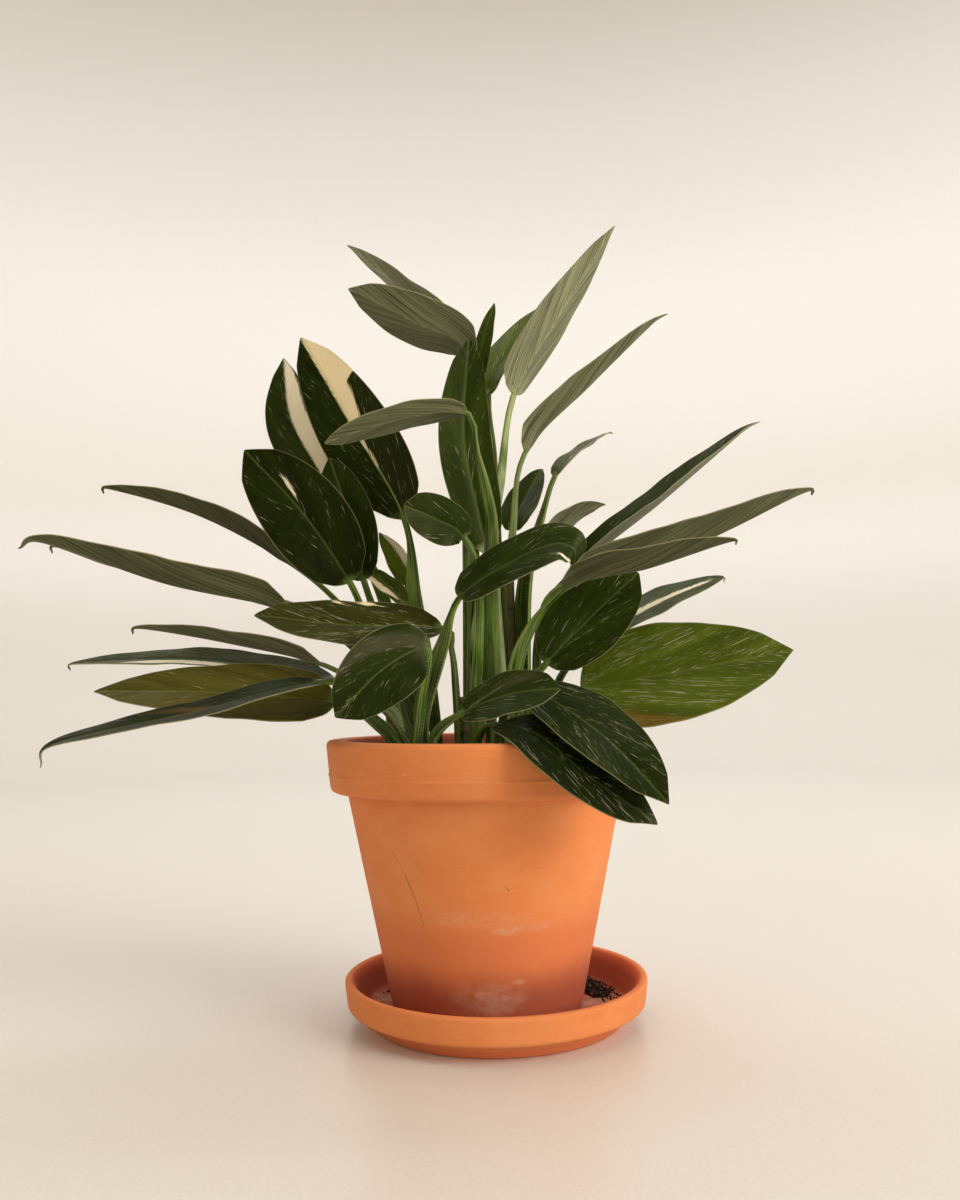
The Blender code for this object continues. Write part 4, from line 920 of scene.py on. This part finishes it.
def stemMaterial():
    # Climber's stem, grown joint by joint: green skin gone corky and brown in patches, dark rings at its joints
    look = stemLook
    material, add, shader = startMaterial("corkedStemSkin", look["roughness"], look["ior"])
    place = add("TexCoord", {}).outputs["Object"]
    thin = add("VectorMath", "MULTIPLY", place, (1.0, 1.0, 0.15))
    fibre = add("TexNoise", {}, thin, Scale=1000 / look["fibreMm"], Detail=4, Roughness=0.6)
    cork = add("TexNoise", {}, place, Scale=1000 / look["corkMm"], Detail=4)
    joint = add("Attribute", {"attribute_name": "joint"}).outputs["Fac"]
    colour = add("Mix", asColour, add("MapRange", smooth, cork, 0.4, 0.62), look["green"], look["bark"])
    colour = add("Mix", asColour, add("MapRange", smooth, fibre, 0.5, 0.75, 0, 0.4), colour, look["ring"])
    colour = add("Mix", asColour, add("Math", "MULTIPLY", joint, 0.75), colour, look["ring"])
    material.node_tree.links.new(colour.outputs[2], shader.inputs["Base Color"])
    bump = add("Bump", {}, Strength=0.5, Distance=look["reliefMm"] * mm, Height=fibre)
    material.node_tree.links.new(bump.outputs[0], shader.inputs["Normal"])
    return material


def makeStem(name, f, material):
    sides, rows, joint = [], [], []
    angles = np.linspace(0, 2 * math.pi, 28, endpoint=False)
    knuckles = [f["height"] * k / 4 for k in (1, 2, 3)]
    levels = np.concatenate([[-20, -10], np.linspace(0, f["height"], 90)])
    for up in levels:
        near = min(abs(up - k) for k in knuckles)
        scale = 0.82 + 0.18 * math.exp(-(near / 2.2) ** 2) - 0.06 * math.exp(-((near - 1.2) / 0.5) ** 2)
        scale = max(scale, 0.9 - max(0, up) * 0.02) if up < 4 else scale
        cap = max(0.0, (up - f["height"] + 3) / 3)
        scale *= math.sqrt(max(0.02, 1 - 0.9 * cap * cap))
        bent = (max(0.0, up) / f["height"]) ** 2
        for a in angles:
            r = f["radius"] * scale * (1 + 0.05 * noise.noise((math.cos(a), math.sin(a), up / 9)))
            rows.append((f["root"][0] + f["lean"][0] * bent + r * math.cos(a),
                         f["root"][1] + f["lean"][1] * bent + r * math.sin(a), 162 + up))
            joint.append(math.exp(-((near - 0.4) / 0.6) ** 2))
    faces = ringFaces(len(levels), len(angles))
    n = len(angles)
    faces.append(tuple(range(n))[::-1])
    faces.append(tuple(range((len(levels) - 1) * n, len(levels) * n)))
    putPiece(name + "_grown", np.array(rows) * mm, faces, [material], name, 50,
             marks=dict(joint=joint))


stemSkin = stemMaterial()
for name, form in stemForms.items():
    makeStem(name, form, stemSkin)
print("stems grown")


# Studio: pale paper bent up into a round wall, a large soft light from the right front, a wash on the paper
stageForm = dict(foot=3.2, bend=1.0, high=3.6, turns=120)    # metres
stageLook = dict(paper="#e9e6df", shade="#d8d5ce", roughness=0.3, ior=1.45, grainMm=2)
lightForms = dict(
    key=dict(place=(2.2, -1.43, 1.38), aim=(0, 0, 0.2), size=(1.75, 1.6), power=60, colour="#fff9f1"),
    fill=dict(place=(-1.5, -1.5, 1.0), aim=(0, 0, 0.2), size=(1.4, 1.4), power=4, colour="#fff0dc"),
    top=dict(place=(-0.3, 0.1, 2.6), aim=(0, 0.3, 0), size=(2.6, 2.2), power=17, colour="#fff8ee"),
    wash=dict(place=(0.2, 1.0, 2.4), aim=(0.2, 3.0, 0.5), size=(3.4, 1.2), power=36, colour="#eff3ff"),
)
worldLook = dict(colour="#ffe0b8", strength=0.24)
cameraForm = dict(place=(-1.2, -684.2, 206.4), pitch=5.6, roll=0.0143, lens=30.27)


def paperMaterial():
    # Backdrop paper, rolled and uncoated: pale and nearly even, its grain just seen, with a low sheen
    look = stageLook
    material, add, shader = startMaterial("rolledPaper", look["roughness"], look["ior"])
    place = add("TexCoord", {}).outputs["Object"]
    grain = add("TexNoise", {}, place, Scale=1000 / look["grainMm"], Detail=3)
    grain = add("MapRange", smooth, grain, 0.3, 0.7, 0, 0.3)
    colour = add("Mix", asColour, grain, look["paper"], look["shade"])
    material.node_tree.links.new(colour.outputs[2], shader.inputs["Base Color"])
    return material


def makeStage():
    f = stageForm
    flat = f["foot"] - f["bend"]
    profile = [(0.3, 0.0), (1.0, 0.0), (flat, 0.0)]
    for k in range(1, 25):
        angle = math.pi / 2 * k / 24
        profile.append((flat + f["bend"] * math.sin(angle), f["bend"] * (1 - math.cos(angle))))
    profile.append((f["foot"], f["high"]))
    turns = f["turns"]
    points = [(r * math.sin(math.tau * k / turns), -r * math.cos(math.tau * k / turns), z)
              for r, z in profile for k in range(turns)] + [(0, 0, 0)]
    faces = [(k, (k + 1) % turns, len(points) - 1) for k in range(turns)]
    faces += [face[::-1] for face in ringFaces(len(profile), turns)]
    mesh = bpy.data.meshes.new("sweep")
    mesh.from_pydata(points, [], faces)
    mesh.materials.append(paperMaterial())
    mesh.shade_smooth()
    sweep = bpy.data.objects.new("sweep", mesh)
    bpy.context.scene.collection.objects.link(sweep)


def makeLights():
    for name, f in lightForms.items():
        data = bpy.data.lights.new(name, "AREA")
        data.shape = "RECTANGLE"
        data.size, data.size_y = f["size"]
        data.energy = f["power"]
        data.color = linear(f["colour"])[:3]
        lamp = bpy.data.objects.new(name, data)
        lamp.location = f["place"]
        lamp.rotation_euler = (Vector(f["place"]) - Vector(f["aim"])).to_track_quat("Z", "Y").to_euler()
        lamp.visible_camera = False
        bpy.context.scene.collection.objects.link(lamp)
    world = bpy.data.worlds.new("room")
    world.use_nodes = True
    background = world.node_tree.nodes["Background"]
    background.inputs["Color"].default_value = linear(worldLook["colour"])
    background.inputs["Strength"].default_value = worldLook["strength"]
    bpy.context.scene.world = world


def makeCamera():
    # level with the pot's rim, tipped up a little and turned a hair, as the photograph was taken
    f = cameraForm
    pitch, roll = math.radians(f["pitch"]), f["roll"]
    forward = Vector((0, math.cos(pitch), math.sin(pitch)))
    upward = Vector((0, -math.sin(pitch), math.cos(pitch)))
    level = Vector((1, 0, 0))
    right = level * math.cos(roll) - upward * math.sin(roll)
    top = level * math.sin(roll) + upward * math.cos(roll)
    data = bpy.data.cameras.new("photoCamera")
    data.lens, data.sensor_width = f["lens"], 36
    data.clip_start, data.clip_end = 0.02, 20
    camera = bpy.data.objects.new("photoCamera", data)
    turn = Matrix((right, top, -forward)).transposed()
    camera.matrix_world = Matrix.Translation(Vector(f["place"]) * mm) @ turn.to_4x4()
    bpy.context.scene.collection.objects.link(camera)
    bpy.context.scene.camera = camera


makeStage()
makeLights()
makeCamera()
bpy.context.scene.view_settings.view_transform = "Standard"
print("stage, lights and camera set")
